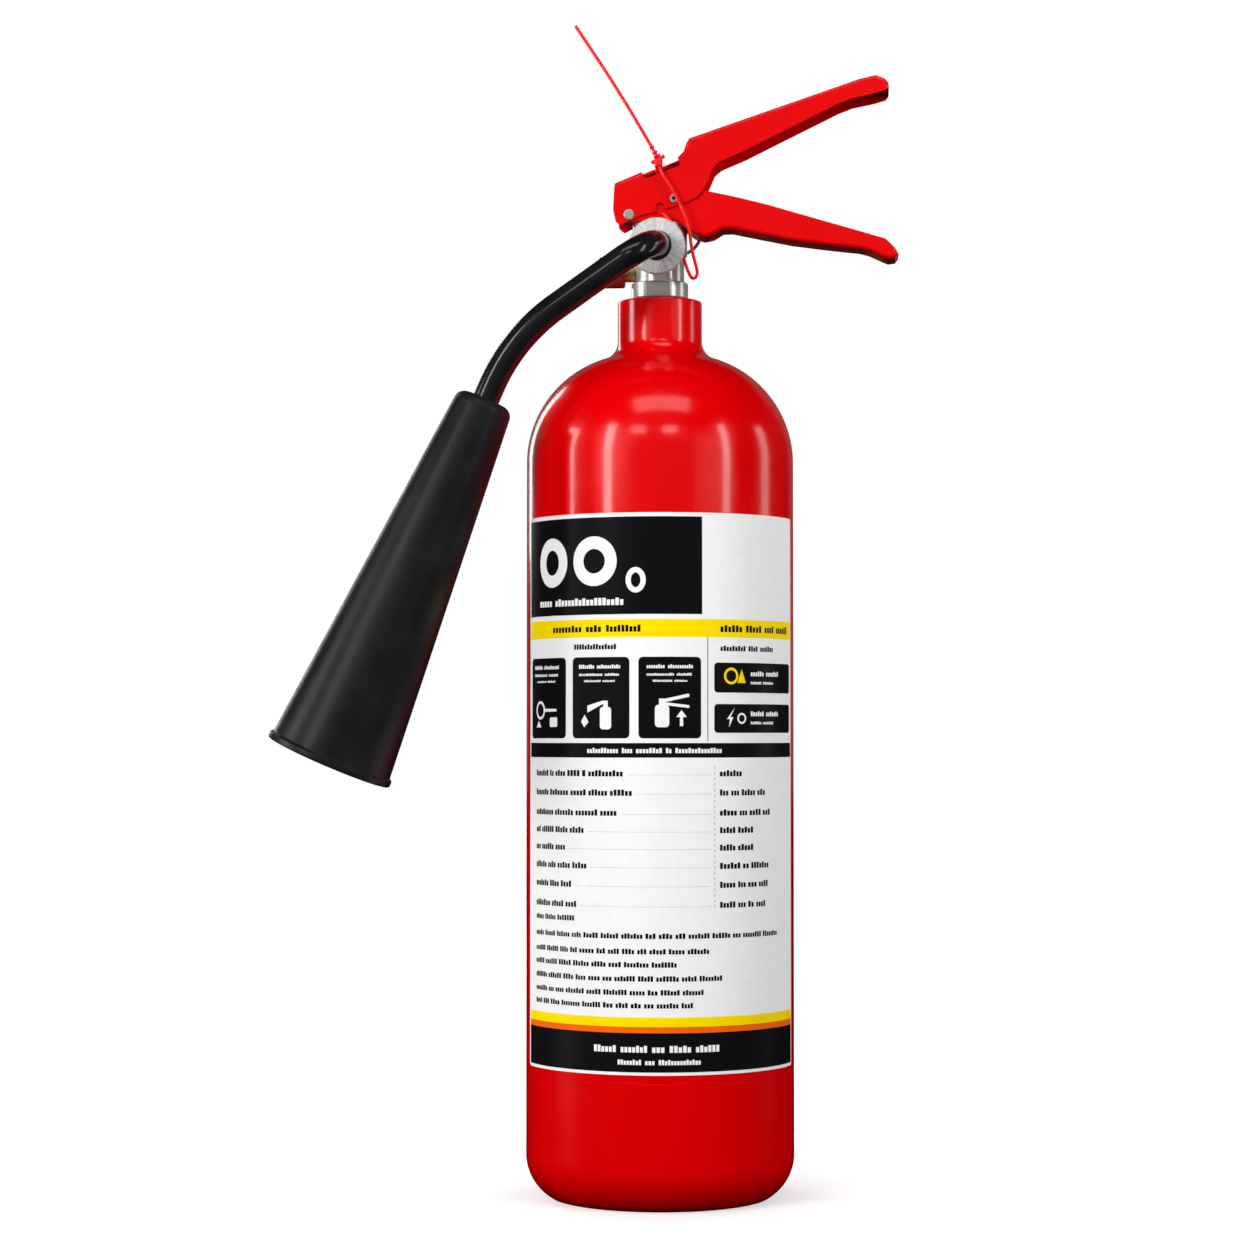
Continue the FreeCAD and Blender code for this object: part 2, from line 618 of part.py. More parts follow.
def discharge_pipe():
    first, second = pipe_directions()
    back = d.nipple_end.value + d.flange_gap.value
    start = FreeCAD.Vector(0, -back, outlet.value)
    elbow = FreeCAD.Vector(0, -d.pipe_reach.value, outlet.value)
    corner = elbow + first * d.pipe_run.value
    end = corner + second * (d.horn_start.value + d.horn_socket.value)
    wire = round_wire([start, elbow, corner, end], [d.elbow_radius.value, d.bend_radius.value])
    solid = tube(wire, d.pipe_radius.value)
    out = FreeCAD.Vector(0, -1, 0)
    flange = Part.makeCylinder(d.nipple_radius.value, d.flange_thick.value, start, out)
    spigot_start = start - out * d.spigot_length.value
    spigot = Part.makeCylinder(d.spigot_radius.value, d.spigot_length.value, spigot_start, out)
    ring = d.ring_wire.value
    groove_width = 2 * d.groove_half.value
    groove_start = start - out * (d.spigot_length.value / 2 + d.groove_half.value)
    around = Part.makeCylinder(2 * d.spigot_radius.value, groove_width, groove_start, out)
    floor = d.spigot_radius.value - 2 * ring - d.skin_gap.value
    groove = around.cut(Part.makeCylinder(floor, groove_width, groove_start, out))
    bore = tube(wire, d.pipe_bore.value)
    inlet = Part.makeCylinder(d.outlet_bore.value, 2 * d.spigot_length.value, spigot_start, out)
    solid = solid.fuse([flange, spigot]).removeSplitter().cut([groove, bore, inlet])
    volume = math.pi * (d.pipe_radius.value ** 2 - d.pipe_bore.value ** 2) * wire.Length
    print("pipe: %.0f mm long, section times length %.0f mm3, solid %.0f mm3"
          % (wire.Length, volume, solid.Volume))
    node(free_shape("discharge_pipe", solid), "discharge_pipe")


def horn():
    bore = d.pipe_radius + d.fit_gap
    rim_start = d.horn_length - d.rim_height
    flare = (d.horn_mouth - d.horn_top) / rim_start
    throat = d.horn_top + flare * d.horn_throat - d.horn_wall
    inner_mouth = d.horn_mouth - d.horn_wall
    seat_radius = d.nozzle_radius + d.fit_gap
    profile = [
        (bore, 0), (d.horn_top, 0), (d.horn_mouth, rim_start), (d.horn_rim, rim_start),
        (d.horn_rim, d.horn_length), (inner_mouth, d.horn_length), (throat, d.horn_throat),
        (seat_radius, d.horn_throat), (seat_radius, d.horn_socket), (bore, d.horn_socket),
    ]
    made = turned("horn", profile)
    rounded(made, "horn_shoulder", [(d.horn_top, 0)], d.horn_round)
    rounded(made, "horn_rim_edges", [(d.horn_rim, rim_start), (d.horn_rim, d.horn_length)], d.rim_round)
    made.Placement = horn_place()
    node(made, "horn")
    top = d.horn_socket
    bottom = top + d.nozzle_length
    profile = [(d.nozzle_orifice, top), (d.nozzle_radius, top), (d.nozzle_radius, bottom),
               (d.nozzle_orifice, bottom)]
    nozzle = turned("horn_nozzle", profile)
    nozzle.Placement = horn_place()
    node(nozzle, "horn_nozzle")


# The handles. Their outlines are given from the pivot, along X and Z.
LEVER_OUTLINE = [
    (-7.4, 16.3), (-8.1, 2.9), (-6.9, -3.2), (-4.2, -5.4), (3.9, -1.0), (13.4, 1.2), (13.7, 5.0),
    (15.75, 6.1), (17.8, 5.0), (18.4, 2.6), (28.9, 5.8), (34.3, 8.2), (37.2, 11.3), (40.2, 17.8),
    (42.5, 23.3), (46.0, 26.4), (58.9, 31.8), (76.6, 40.5), (94.5, 49.2), (106.3, 55.0),
    (113.5, 57.7), (124.3, 59.8), (130.6, 61.6), (132.1, 63.3), (131.9, 65.6), (130.3, 67.7),
    (125.5, 69.7), (117.1, 67.8), (30.8, 38.9), (29.2, 36.3), (27.9, 32.3), (24.3, 28.7),
    (17.2, 25.9), (11.0, 23.8),
]
HANDLE_OUTLINE = [
    (-5.6, -3.2), (-5.6, 4.6), (2.0, 8.2), (14.9, 12.4), (26.0, 13.2), (38.4, 12.2), (54.3, 8.7),
    (70.8, 4.4), (94.5, -2.8), (118.2, -9.9), (130.2, -13.6), (135.0, -18.2), (136.8, -21.1),
    (135.0, -23.4), (131.4, -23.8), (127.9, -22.3), (122.0, -19.5), (117.2, -18.2), (100.5, -16.2),
    (82.6, -13.7), (64.9, -10.0), (51.9, -7.2), (47.2, -7.4), (42.5, -10.3), (37.8, -11.3),
    (33.1, -9.9), (28.4, -6.6), (24.9, -4.3), (22.5, -3.2),
]


def from_pivot(outline, drop=0):
    return [(d.pivot_across + x, pivot_z + (z - drop)) for x, z in outline]


def cross_hole(name, radius, x, z):
    """A round hole across both walls of a handle."""
    return cylinder(name, radius, 4 * d.lever_half, x=x, y=2 * d.lever_half, z=z, turn="-Y")


def lever():
    plate = d.sheet_metal.value
    outer = pressed("lever", from_pivot(LEVER_OUTLINE), d.lever_half)
    inner = pressed("lever_hollow", from_pivot(LEVER_OUTLINE, plate), d.lever_half - d.sheet_metal)
    slot_x = d.pivot_across + d.slot_start
    slot_low = pivot_z + d.slot_floor
    slot = box("lever_slot", (slot_x, -2 * d.lever_half, slot_low),
               (slot_x + d.slot_length, d.slot_width - d.lever_half, slot_low + 2 * d.lever_half))
    put(slot, slot_x, -2 * d.lever_half, slot_low,
        FreeCAD.Rotation(FreeCAD.Vector(0, 1, 0), -d.slot_slope.value))
    channel = cut("lever", outer, inner, slot,
                  cross_hole("lever_pivot_hole", d.pivot_radius + d.fit_gap, d.pivot_across, pivot_z),
                  cross_hole("lever_latch_hole", d.latch_radius + d.fit_gap, latch_x, latch_z))
    tab = box("lever_tab", (slot_x - d.sheet_metal, -d.tab_half, foot_bottom),
              (slot_x, d.tab_half, pivot_z + d.tab_top))
    foot = box("lever_foot", (slot_x - d.sheet_metal, -d.tab_half, foot_bottom),
               (slot_x + d.tab_foot - d.sheet_metal, d.tab_half, foot_bottom + d.sheet_metal))
    node(fused("lever", channel, tab, foot), "lever")


def carry_handle():
    outer = pressed("handle", from_pivot(HANDLE_OUTLINE), d.handle_half)
    inner = pressed("handle_hollow", from_pivot(HANDLE_OUTLINE, -d.sheet_metal.value),
                    d.handle_half - d.sheet_metal)
    screw = cylinder("handle_screw_hole", d.gland_radius, 4 * d.sheet_metal, z=head_top - 2 * d.sheet_metal)
    angle = math.atan2(d.latch_rise.value, d.latch_across.value)
    swing = math.hypot(d.latch_rise.value, d.latch_across.value)
    room = d.latch_radius + d.run_gap + d.fit_gap
    holes = [screw, cross_hole("handle_pivot_hole", d.pivot_radius + d.skin_gap, d.pivot_across, pivot_z)]
    steps = 5
    slot_holes = []
    for i in range(steps):
        at = angle - math.radians(d.squeeze_angle.value) * i / (steps - 1)
        slot_holes.append(cross_hole("handle_slot%d" % i, room, d.pivot_across + swing * math.cos(at),
                                     pivot_z + swing * math.sin(at)))
    holes.append(fused("handle_slot", *slot_holes))
    strap = cylinder("handle_seal_hole", 2 * d.seal_wire, 2 * d.sheet_metal, x=SEAL_IN.x,
                     y=-(d.handle_half - 2 * d.sheet_metal), z=SEAL_IN.z, turn="-Y")
    seating = cylinder("handle_head_room", d.head_radius + d.run_gap, d.head_height, z=head_bottom)
    node(cut("handle", outer, inner, seating, *holes, strap), "carry_handle")


def pivot_pin():
    face = d.lever_half + d.run_gap
    end = face + d.pivot_head_thick
    profile = [(0, -end), (d.pivot_head, -end), (d.pivot_head, -face), (d.pivot_radius, -face),
               (d.pivot_radius, face), (d.pivot_head, face), (d.pivot_head, end), (0, end)]
    pin = turned("pivot_pin", profile)
    rounded(pin, "pin_heads", [(d.pivot_head, -end), (d.pivot_head, end)], d.pivot_head_thick / 2)
    node(put(pin, d.pivot_across, 0, pivot_z, "-Y"), "pivot_pin")


def safety_pin():
    """The pin that locks the lever, with its eye on the far side, and its pull ring."""
    tip = d.lever_half + d.latch_tip
    length = tip + d.latch_reach
    shank = cylinder("pin_shank", d.latch_radius, length, x=latch_x, y=1 * d.latch_reach, z=latch_z, turn="-Y")
    eye = cylinder("pin_eye", d.eye_radius, 2 * d.eye_half, x=latch_x - d.eye_half, y=1 * d.latch_reach, z=latch_z,
                   turn="+X")
    hole = cylinder("pin_eye_hole", d.eye_hole, 4 * d.eye_radius, x=latch_x - 2 * d.eye_radius,
                    y=1 * d.latch_reach, z=latch_z, turn="+X")
    slack = d.eye_half * 2
    sides = []
    for side, start in (("left", latch_x - d.eye_half - 3 * slack), ("right", latch_x + d.eye_half)):
        sides.append(box("pin_side_" + side, (start, d.latch_reach - d.eye_radius, latch_z - 2 * d.eye_radius),
                         (start + 3 * slack, d.latch_reach + d.eye_radius, latch_z + 2 * d.eye_radius)))
    dimple = cylinder("pin_dimple", d.latch_dimple, d.latch_tip, x=latch_x, y=-d.lever_half, z=latch_z, turn="-Y")
    shank = cut("pin_shank", shank, *sides)
    node(cut("pin", fused("pin", shank, eye), hole, dimple), "safety_pin")
    ring = doc.addObject("Part::Torus", "ring")
    bind(ring, "Radius1", d.pull_radius)
    bind(ring, "Radius2", d.pull_wire)
    put(ring, latch_x, d.latch_reach, latch_z - d.pull_radius, "-Y")
    node(ring, "pull_ring")


# The security seal. Its strap goes down the near side, round behind the outlet and up through
# the handles; its tail stands up from the lock.
SEAL_IN = FreeCAD.Vector(1.4, -13.0, 498.9)
STRAP_ROUTE = [
    (1.2, -15.9, 521.5), (2.7, -16.3, 517.5), (5.6, -16.4, 513.6), (8.4, -16.3, 508.6), (11.0, -16.2, 503.6),
    (13.3, -16.2, 498.6), (15.3, -16.2, 493.2), (16.4, -16.3, 487.6), (17.0, -16.4, 482.0),
    (18.1, -16.5, 476.4), (19.4, -16.6, 471.4), (20.3, -16.7, 467.9), (19.9, -16.8, 465.4), (17.9, -16.9, 464.3),
    (16.3, -17.0, 466.3), (14.7, -17.0, 470.4), (13.2, -17.0, 475.6), (12.6, -17.0, 481.4),
    (11.3, -17.0, 486.8), (8.6, -17.0, 491.6), (5.2, -16.9, 495.6), (2.7, -15.8, 498.3), (1.4, -13.0, 498.9),
    (1.3, -9.6, 499.1), (0.9, -7.6, 501.2), (0.3, -7.2, 505.4), (-0.1, -7.2, 510.6), (-0.3, -8.0, 515.8),
    (-0.4, -10.4, 519.6), (-0.5, -13.7, 521.5),
]
TAIL_ROUTE = [
    (0.1, -14.8, 526.5), (-9.6, -14.4, 543.8), (-20.3, -13.6, 561.6), (-31.4, -12.7, 579.2), (-42.3, -12.0, 595.6),
]


def seal():
    for name, route, radius in (("seal_strap", STRAP_ROUTE, d.seal_wire), ("seal_tail", TAIL_ROUTE, d.tail_wire)):
        points = [FreeCAD.Vector(*p) for p in route]
        radii = strap_radii(points)
        wire = round_wire(points, radii)
        solid = tube(wire, radius.value)
        volume = math.pi * radius.value ** 2 * wire.Length
        print("%s: %.1f mm long, section times length %.1f mm3, solid %.1f mm3, radii %s"
              % (name, wire.Length, volume, solid.Volume, " ".join("%.1f" % r for r in radii)))
        node(free_shape(name, solid), name)
    half = d.lock_half
    lock = box("lock", (d.lock_across - half, -d.lock_out - half, 1 * d.lock_bottom),
               (d.lock_across + half, -d.lock_out + half, d.lock_bottom + d.lock_height))
    node(lock, "seal_lock")


def export():
    """Checks every object and every sub-part, and writes the sub-parts."""
    doc.recompute()
    for thing in doc.Objects:
        if "Invalid" in thing.State or "Error" in thing.State:
            raise RuntimeError("%s is %s" % (thing.Label, thing.State))
    for thing in nodes:
        if thing.Shape.isNull() or not thing.Shape.isValid():
            raise RuntimeError("%s has no valid shape" % thing.Label)
    os.makedirs("parts", exist_ok=True)
    for thing in nodes:
        print("%-16s %d solid(s) %10.1f mm3" % (thing.Label, len(thing.Shape.Solids), thing.Shape.Volume))
        thing.Shape.exportStep("parts/%s.step" % thing.Label)


cylinder_shell()
label()
neck_seal()
valve_body()
siphon()
stem()
relief()
swivel()
discharge_pipe()
horn()
lever()
carry_handle()
pivot_pin()
safety_pin()
seal()
export()
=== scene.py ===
import json
import math
import random

import bmesh
import bpy
from bpy.props import FloatProperty, FloatVectorProperty, PointerProperty
from mathutils import Matrix, Vector


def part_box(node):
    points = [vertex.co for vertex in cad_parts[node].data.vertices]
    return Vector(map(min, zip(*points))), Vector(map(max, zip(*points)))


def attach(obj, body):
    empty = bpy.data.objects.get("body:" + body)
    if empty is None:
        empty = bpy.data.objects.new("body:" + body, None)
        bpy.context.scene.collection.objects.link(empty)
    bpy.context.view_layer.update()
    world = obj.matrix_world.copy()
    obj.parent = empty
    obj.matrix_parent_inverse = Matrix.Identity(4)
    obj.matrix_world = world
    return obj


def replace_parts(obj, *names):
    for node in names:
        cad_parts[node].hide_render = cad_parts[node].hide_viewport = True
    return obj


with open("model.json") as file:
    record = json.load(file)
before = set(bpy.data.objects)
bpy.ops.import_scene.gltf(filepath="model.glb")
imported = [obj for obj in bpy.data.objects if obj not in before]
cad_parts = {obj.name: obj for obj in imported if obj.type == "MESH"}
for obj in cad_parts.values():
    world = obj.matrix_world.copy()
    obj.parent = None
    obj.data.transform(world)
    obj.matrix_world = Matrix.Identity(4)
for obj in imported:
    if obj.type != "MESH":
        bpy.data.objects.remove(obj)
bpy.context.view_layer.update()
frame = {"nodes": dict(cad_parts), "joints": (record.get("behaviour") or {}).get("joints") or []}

bl_info = {
    "name": "Carbon dioxide extinguisher",
    "version": (1, 0, 0),
    "blender": (4, 5, 0),
    "location": "View3D > Sidebar > Extinguisher",
    "description": "Builds the looks of a portable extinguisher around its packed CAD frame",
    "category": "Add Mesh",
}

MM = 0.001
X, Y, Z = Vector((1, 0, 0)), Vector((0, 1, 0)), Vector((0, 0, 1))
JOINTS = {joint["name"]: joint for joint in frame["joints"]}
PIVOT = Vector(JOINTS["lever_squeeze"]["pos_m"])
OUTLET = Vector(JOINTS["horn_swing"]["pos_m"])
SHELL_LOW, SHELL_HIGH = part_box("cylinder_shell")
LABEL_LOW, LABEL_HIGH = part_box("label")
NUT_FRONT = -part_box("swivel_nut")[0].y


# Sizes and colours that a user would change

def length(name, description, default):
    return FloatProperty(name=name, description=description, subtype="DISTANCE", default=default)


def tint(name, description, default):
    return FloatVectorProperty(name=name, description=description, subtype="COLOR", size=3,
                               default=default)


class ShellSettings(bpy.types.PropertyGroup):
    """The painted cylinder."""

    radius: length("Radius", "Outer radius of the cylinder", SHELL_HIGH.x)
    neck_radius: length("Neck radius", "Outer radius of the neck", 21.5 * MM)
    dome_radius: length("Dome radius", "Profile radius of the dome", 55.6 * MM)
    heel_radius: length("Heel radius", "Profile radius at the foot", 25 * MM)
    paint: tint("Paint", "Colour of the enamel", (0.70, 0.0, 0.001))


class LabelSettings(bpy.types.PropertyGroup):
    """The printed label."""

    film: tint("Film", "Colour of the label's film", (0.86, 0.86, 0.86))
    yellow: tint("Yellow", "Colour of the bars", (0.96, 0.70, 0.0))
    orange: tint("Orange", "Colour of the lower stripe", (0.87, 0.13, 0.005))


class HandleSettings(bpy.types.PropertyGroup):
    """The pressed handles."""

    plate: length("Plate", "Thickness of the pressed sheet", 1.5 * MM)
    bend: length("Bend", "Outer radius of the folds", 2.6 * MM)


class HornSettings(bpy.types.PropertyGroup):
    """The discharge horn and its pipe."""

    plastic: tint("Plastic", "Colour of the horn", (0.007, 0.007, 0.008))
    enamel: tint("Enamel", "Colour of the pipe", (0.006, 0.006, 0.007))


class SealSettings(bpy.types.PropertyGroup):
    """The security seal."""

    nylon: tint("Nylon", "Colour of the seal", (0.85, 0.004, 0.006))
    strap: length("Strap", "Diameter of the strap", 1.7 * MM)


# Materials

class Value:
    """A shader socket that takes part in sums."""

    def __init__(self, shader, socket):
        self.shader = shader
        self.socket = socket

    def __add__(self, other):
        return self.shader.maths("ADD", self, other)

    __radd__ = __add__

    def __mul__(self, other):
        return self.shader.maths("MULTIPLY", self, other)

    __rmul__ = __mul__

    def __sub__(self, other):
        return self.shader.maths("SUBTRACT", self, other)

    def __rsub__(self, other):
        return self.shader.maths("SUBTRACT", other, self)


class Finish:
    """A material whose nodes are added one by one."""

    def __init__(self, name, **sockets):
        self.material = bpy.data.materials.new(name)
        self.material.use_nodes = True
        self.tree = self.material.node_tree
        self.skin = self.tree.nodes["Principled BSDF"]
        for socket, value in sockets.items():
            self.skin.inputs[socket.replace("_", " ")].default_value = value
        self.place = self.node("ShaderNodeTexCoord").outputs["Object"]

    def node(self, kind, settings=None, inputs=None):
        made = self.tree.nodes.new(kind)
        for name, value in (settings or {}).items():
            setattr(made, name, value)
        for name, value in (inputs or {}).items():
            self.feed(made.inputs[name], value)
        return made

    def feed(self, socket, value):
        if isinstance(value, Value):
            value = value.socket
        if isinstance(value, bpy.types.NodeSocket):
            self.tree.links.new(value, socket)
        else:
            socket.default_value = value

    def maths(self, operation, first, second):
        made = self.node("ShaderNodeMath", {"operation": operation}, {0: first, 1: second})
        return Value(self, made.outputs[0])

    def noise(self, scale, detail=3.0, roughness=0.5, stretch=(1, 1, 1)):
        """Noise with grains of about 1/scale metres, stretched along the axes."""
        at = self.node("ShaderNodeMapping", {}, {"Vector": self.place, "Scale": stretch}).outputs[0]
        grain = {"Vector": at, "Scale": scale, "Detail": detail, "Roughness": roughness}
        made = self.node("ShaderNodeTexNoise", {}, grain)
        return Value(self, made.outputs["Fac"])

    def spread(self, value, low, high):
        """Stretches the middle of a noise over 0 to 1."""
        made = self.node("ShaderNodeMapRange", {}, {0: value, 1: low, 2: high})
        return Value(self, made.outputs[0])

    def blend(self, factor, first, second):
        mixed = {0: factor, 6: (*first, 1), 7: (*second, 1)}
        made = self.node("ShaderNodeMix", {"data_type": "RGBA"}, mixed)
        return made.outputs[2]

    def bump(self, height, depth, strength=1.0):
        relief = {"Height": height, "Distance": depth, "Strength": strength}
        made = self.node("ShaderNodeBump", {}, relief)
        self.feed(self.skin.inputs["Normal"], made.outputs[0])

    def colour(self, socket):
        self.feed(self.skin.inputs["Base Color"], socket)

    def roughness(self, socket):
        self.feed(self.skin.inputs["Roughness"], socket)


def darker(colour, share):
    return tuple(channel * share for channel in colour)


def red_enamel(colour):
    """Baked gloss paint: faint orange peel, a thin haze and a few duller patches."""
    made = Finish("red_enamel", Coat_Weight=0.3, Coat_Roughness=0.06, IOR=1.45)
    cloud = made.spread(made.noise(18, 4), 0.3, 0.7)
    made.colour(made.blend(cloud, darker(colour, 0.93), colour))
    haze = made.spread(made.noise(55, 5, 0.6), 0.35, 0.75)
    made.roughness(0.16 + 0.08 * haze)
    made.bump(made.noise(260, 2), 0.00002, 0.4)
    return made.material


def label_film(name, colour, rough=0.34):
    """Printed film: faint mottling in the ink and a slightly uneven gloss."""
    made = Finish(name, Coat_Weight=0.01, Coat_Roughness=0.25, Specular_IOR_Level=0.06)
    mottle = made.spread(made.noise(240, 4), 0.3, 0.7)
    made.colour(made.blend(mottle, darker(colour, 0.965), colour))
    made.roughness(rough + 0.08 * made.noise(60, 3))
    made.bump(made.noise(900, 2), 0.00002, 0.4)
    return made.material


def plated_metal(name, colour, rough, scale, stretch):
    """Metal with turning marks or grain in the direction of its stretch."""
    made = Finish(name, Metallic=0.72)
    grain = made.noise(scale, 3, 0.55, stretch)
    stain = made.spread(made.noise(90, 5, 0.6), 0.3, 0.75)
    made.colour(made.blend(stain, darker(colour, 0.82), colour))
    made.roughness(rough + 0.1 * stain)
    made.bump(grain, 0.00003, 0.8)
    return made.material


def cast_disc_metal():
    """Shot-blasted die casting: fine pits and faint rays from the middle of the disc."""
    made = Finish("cast_disc_metal", Metallic=0.35)
    pits = made.noise(1300, 4, 0.7)
    centred = made.node("ShaderNodeMapping", {}, {"Vector": made.place, "Location": -OUTLET})
    parts = made.node("ShaderNodeSeparateXYZ", {}, {0: centred.outputs[0]})
    across, up = Value(made, parts.outputs["X"]), Value(made, parts.outputs["Z"])
    turned = {"W": made.maths("ARCTAN2", across, up), "Scale": 6.0, "Detail": 1.0}
    noise = made.node("ShaderNodeTexNoise", {"noise_dimensions": "1D"}, turned)
    rays = made.spread(Value(made, noise.outputs["Fac"]), 0.35, 0.65)
    patch = made.spread(0.8 * made.noise(900, 4, 0.7) + 0.2 * rays, 0.3, 0.7)
    made.colour(made.blend(patch, (0.52, 0.52, 0.515), (0.82, 0.82, 0.81)))
    made.roughness(0.40 + 0.16 * patch)
    made.bump(pits, 0.0002, 0.9)
    return made.material


def moulded_black(name, colour, rough, grain, depth, coat=0.0):
    """Black plastic or enamel with a fine grain and handling marks."""
    made = Finish(name, Coat_Weight=coat, Coat_Roughness=0.1, Specular_IOR_Level=0.25)
    wear = made.spread(made.noise(40, 5, 0.65), 0.4, 0.75)
    made.colour(made.blend(wear, colour, tuple(channel * 1.5 + 0.002 for channel in colour)))
    made.roughness(rough + 0.1 * wear)
    made.bump(made.noise(grain, 3), depth, 0.2)
    return made.material


def moulded_nylon(name, colour, rough=0.3):
    """Glossy moulded plastic with faint flow marks."""
    made = Finish(name, Coat_Weight=0.2, Coat_Roughness=0.15)
    flow = made.spread(made.noise(120, 2), 0.3, 0.7)
    made.colour(made.blend(flow, darker(colour, 0.94), colour))
    made.roughness(rough + 0.1 * flow)
    return made.material


# Mesh work

def finished(mesh, name, body, material, smooth=40.0):
    """Turns a bmesh into a piece that rides on a body."""
    bmesh.ops.remove_doubles(mesh, verts=mesh.verts, dist=1e-7)
    bmesh.ops.recalc_face_normals(mesh, faces=mesh.faces)
    data = bpy.data.meshes.new(name)
    mesh.to_mesh(data)
    mesh.free()
    piece = bpy.data.objects.new(name, data)
    bpy.context.scene.collection.objects.link(piece)
    data.materials.append(material)
    data.set_sharp_from_angle(angle=math.radians(smooth))
    for face in data.polygons:
        face.use_smooth = True
    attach(piece, body)
    return piece


def arc_profile(points, steps=10):
    """A (radius, height) outline whose corners are rounded by the third number of each point."""
    outline = []
    count = len(points)
    for i, (radius, height, size) in enumerate(points):
        corner = Vector((radius, height))
        if not size:
            outline.append(corner)
            continue
        before = (Vector(points[i - 1][:2]) - corner).normalized()
        after = (Vector(points[(i + 1) % count][:2]) - corner).normalized()
        half = before.angle(after) / 2
        centre = corner + (before + after).normalized() * (size / math.sin(half))
        start = corner + before * (size / math.tan(half)) - centre
        end = corner + after * (size / math.tan(half)) - centre
        sweep = start.angle_signed(end)
        for step in range(steps + 1):
            turn = Matrix.Rotation(-sweep * step / steps, 2)
            outline.append(centre + turn @ start)
    return outline


def spun(outline, steps=128, place=None, closed=True):
    """A full turn of an outline about Z. An open outline ends on the axis."""
    mesh = bmesh.new()
    verts = [mesh.verts.new((point.x, 0, point.y)) for point in outline]
    edges = [mesh.edges.new(pair) for pair in zip(verts, verts[1:])]
    if closed:
        edges.append(mesh.edges.new((verts[-1], verts[0])))
    bmesh.ops.spin(mesh, geom=verts + edges, cent=(0, 0, 0), axis=Z, angle=2 * math.pi,
                   steps=steps, use_merge=True)
    bmesh.ops.remove_doubles(mesh, verts=mesh.verts, dist=1e-7)
    if place:
        bmesh.ops.transform(mesh, matrix=place, verts=mesh.verts)
    return mesh


def axis_place(origin, direction):
    """A matrix that lays Z along a direction."""
    turn = Vector(direction).to_track_quat("Z", "Y").to_matrix().to_4x4()
    return Matrix.Translation(origin) @ turn


def extruded(mesh, face, move):
    """Carries a face to a new place, with walls behind it, and returns it."""
    made = bmesh.ops.extrude_face_region(mesh, geom=[face])["geom"]
    verts = [item for item in made if isinstance(item, bmesh.types.BMVert)]
    bmesh.ops.translate(mesh, vec=move, verts=verts)
    return [item for item in made if isinstance(item, bmesh.types.BMFace)][0]


def softened_box(mesh, size, centre, corner, turn=0.0):
    """Adds a box with rounded edges, turned about Y."""
    verts = bmesh.ops.create_cube(mesh, size=1)["verts"]
    bmesh.ops.scale(mesh, vec=size, verts=verts)
    bmesh.ops.rotate(mesh, cent=(0, 0, 0), matrix=Matrix.Rotation(turn, 3, "Y"), verts=verts)
    bmesh.ops.translate(mesh, vec=centre, verts=verts)
    edges = [edge for edge in mesh.edges if edge.verts[0] in verts]
    bmesh.ops.bevel(mesh, geom=edges, offset=corner, segments=3, affect="EDGES", profile=0.5,
                    material=-1)


def bevelled(piece, width, segments=3, angle=30.0):
    modifier = piece.modifiers.new("edges", "BEVEL")
    modifier.width = width
    modifier.segments = segments
    modifier.limit_method = "ANGLE"
    modifier.angle_limit = math.radians(angle)
    return piece


def round_bar(name, points, diameter, body, material):
    """A round NURBS cord along a route."""
    curve = bpy.data.curves.new(name, "CURVE")
    curve.dimensions = "3D"
    spline = curve.splines.new("NURBS")
    spline.points.add(len(points) - 1)
    for point, at in zip(spline.points, points):
        point.co = (*at, 1)
    spline.order_u = 3
    spline.use_endpoint_u = True
    spline.resolution_u = 8
    curve.bevel_depth = diameter / 2
    curve.bevel_resolution = 4
    curve.use_fill_caps = True
    piece = bpy.data.objects.new(name, curve)
    bpy.context.scene.collection.objects.link(piece)
    curve.materials.append(material)
    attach(piece, body)
    return piece


# The cylinder

# The hollow under the foot, as (radius, height) in millimetres.
FOOT = ((0, 10), (16, 8.9), (32, 5.6), (47.2, 0.5), (48.4, 0), (54.4, 0))


def shell_mesh(sizes):
    """The outside of the cylinder, down into its neck, as one closed turn."""
    foot, top = SHELL_LOW.z, SHELL_HIGH.z
    neck_height, bore, bore_depth = 27.4 * MM, 12.6 * MM, 18 * MM
    blend, lip, heel_drop, heel_gap = 10 * MM, 1.2 * MM, 3 * MM, 0.25 * MM
    dome_middle = sizes.radius - sizes.dome_radius
    dome = Vector((dome_middle, top - neck_height - sizes.dome_radius))
    across, reach = sizes.neck_radius + blend - dome_middle, sizes.dome_radius + blend
    neck = Vector((dome.x + across, dome.y + math.sqrt(reach ** 2 - across ** 2)))
    touch = math.atan2(neck.y - dome.y, across)
    heel = Vector((sizes.radius - sizes.heel_radius, sizes.heel_radius - heel_drop))
    heel_start = math.asin((foot + heel_gap - heel.y) / sizes.heel_radius)
    rim = Vector((sizes.neck_radius - lip, top - lip))
    outline = [Vector((radius * MM, foot + height * MM)) for radius, height in FOOT]
    arcs = ((heel, sizes.heel_radius, heel_start, 0, 18), (dome, sizes.dome_radius, 0, touch, 40),
            (neck, blend, touch - math.pi, -math.pi, 14), (rim, lip, 0, math.pi / 2, 6))
    for centre, radius, first, last, steps in arcs:
        for step in range(steps + 1):
            angle = first + (last - first) * step / steps
            outline.append(centre + radius * Vector((math.cos(angle), math.sin(angle))))
    outline += [Vector((bore, top)), Vector((bore, top - bore_depth)),
                Vector((0, top - bore_depth))]
    return spun(outline, 192, closed=False)


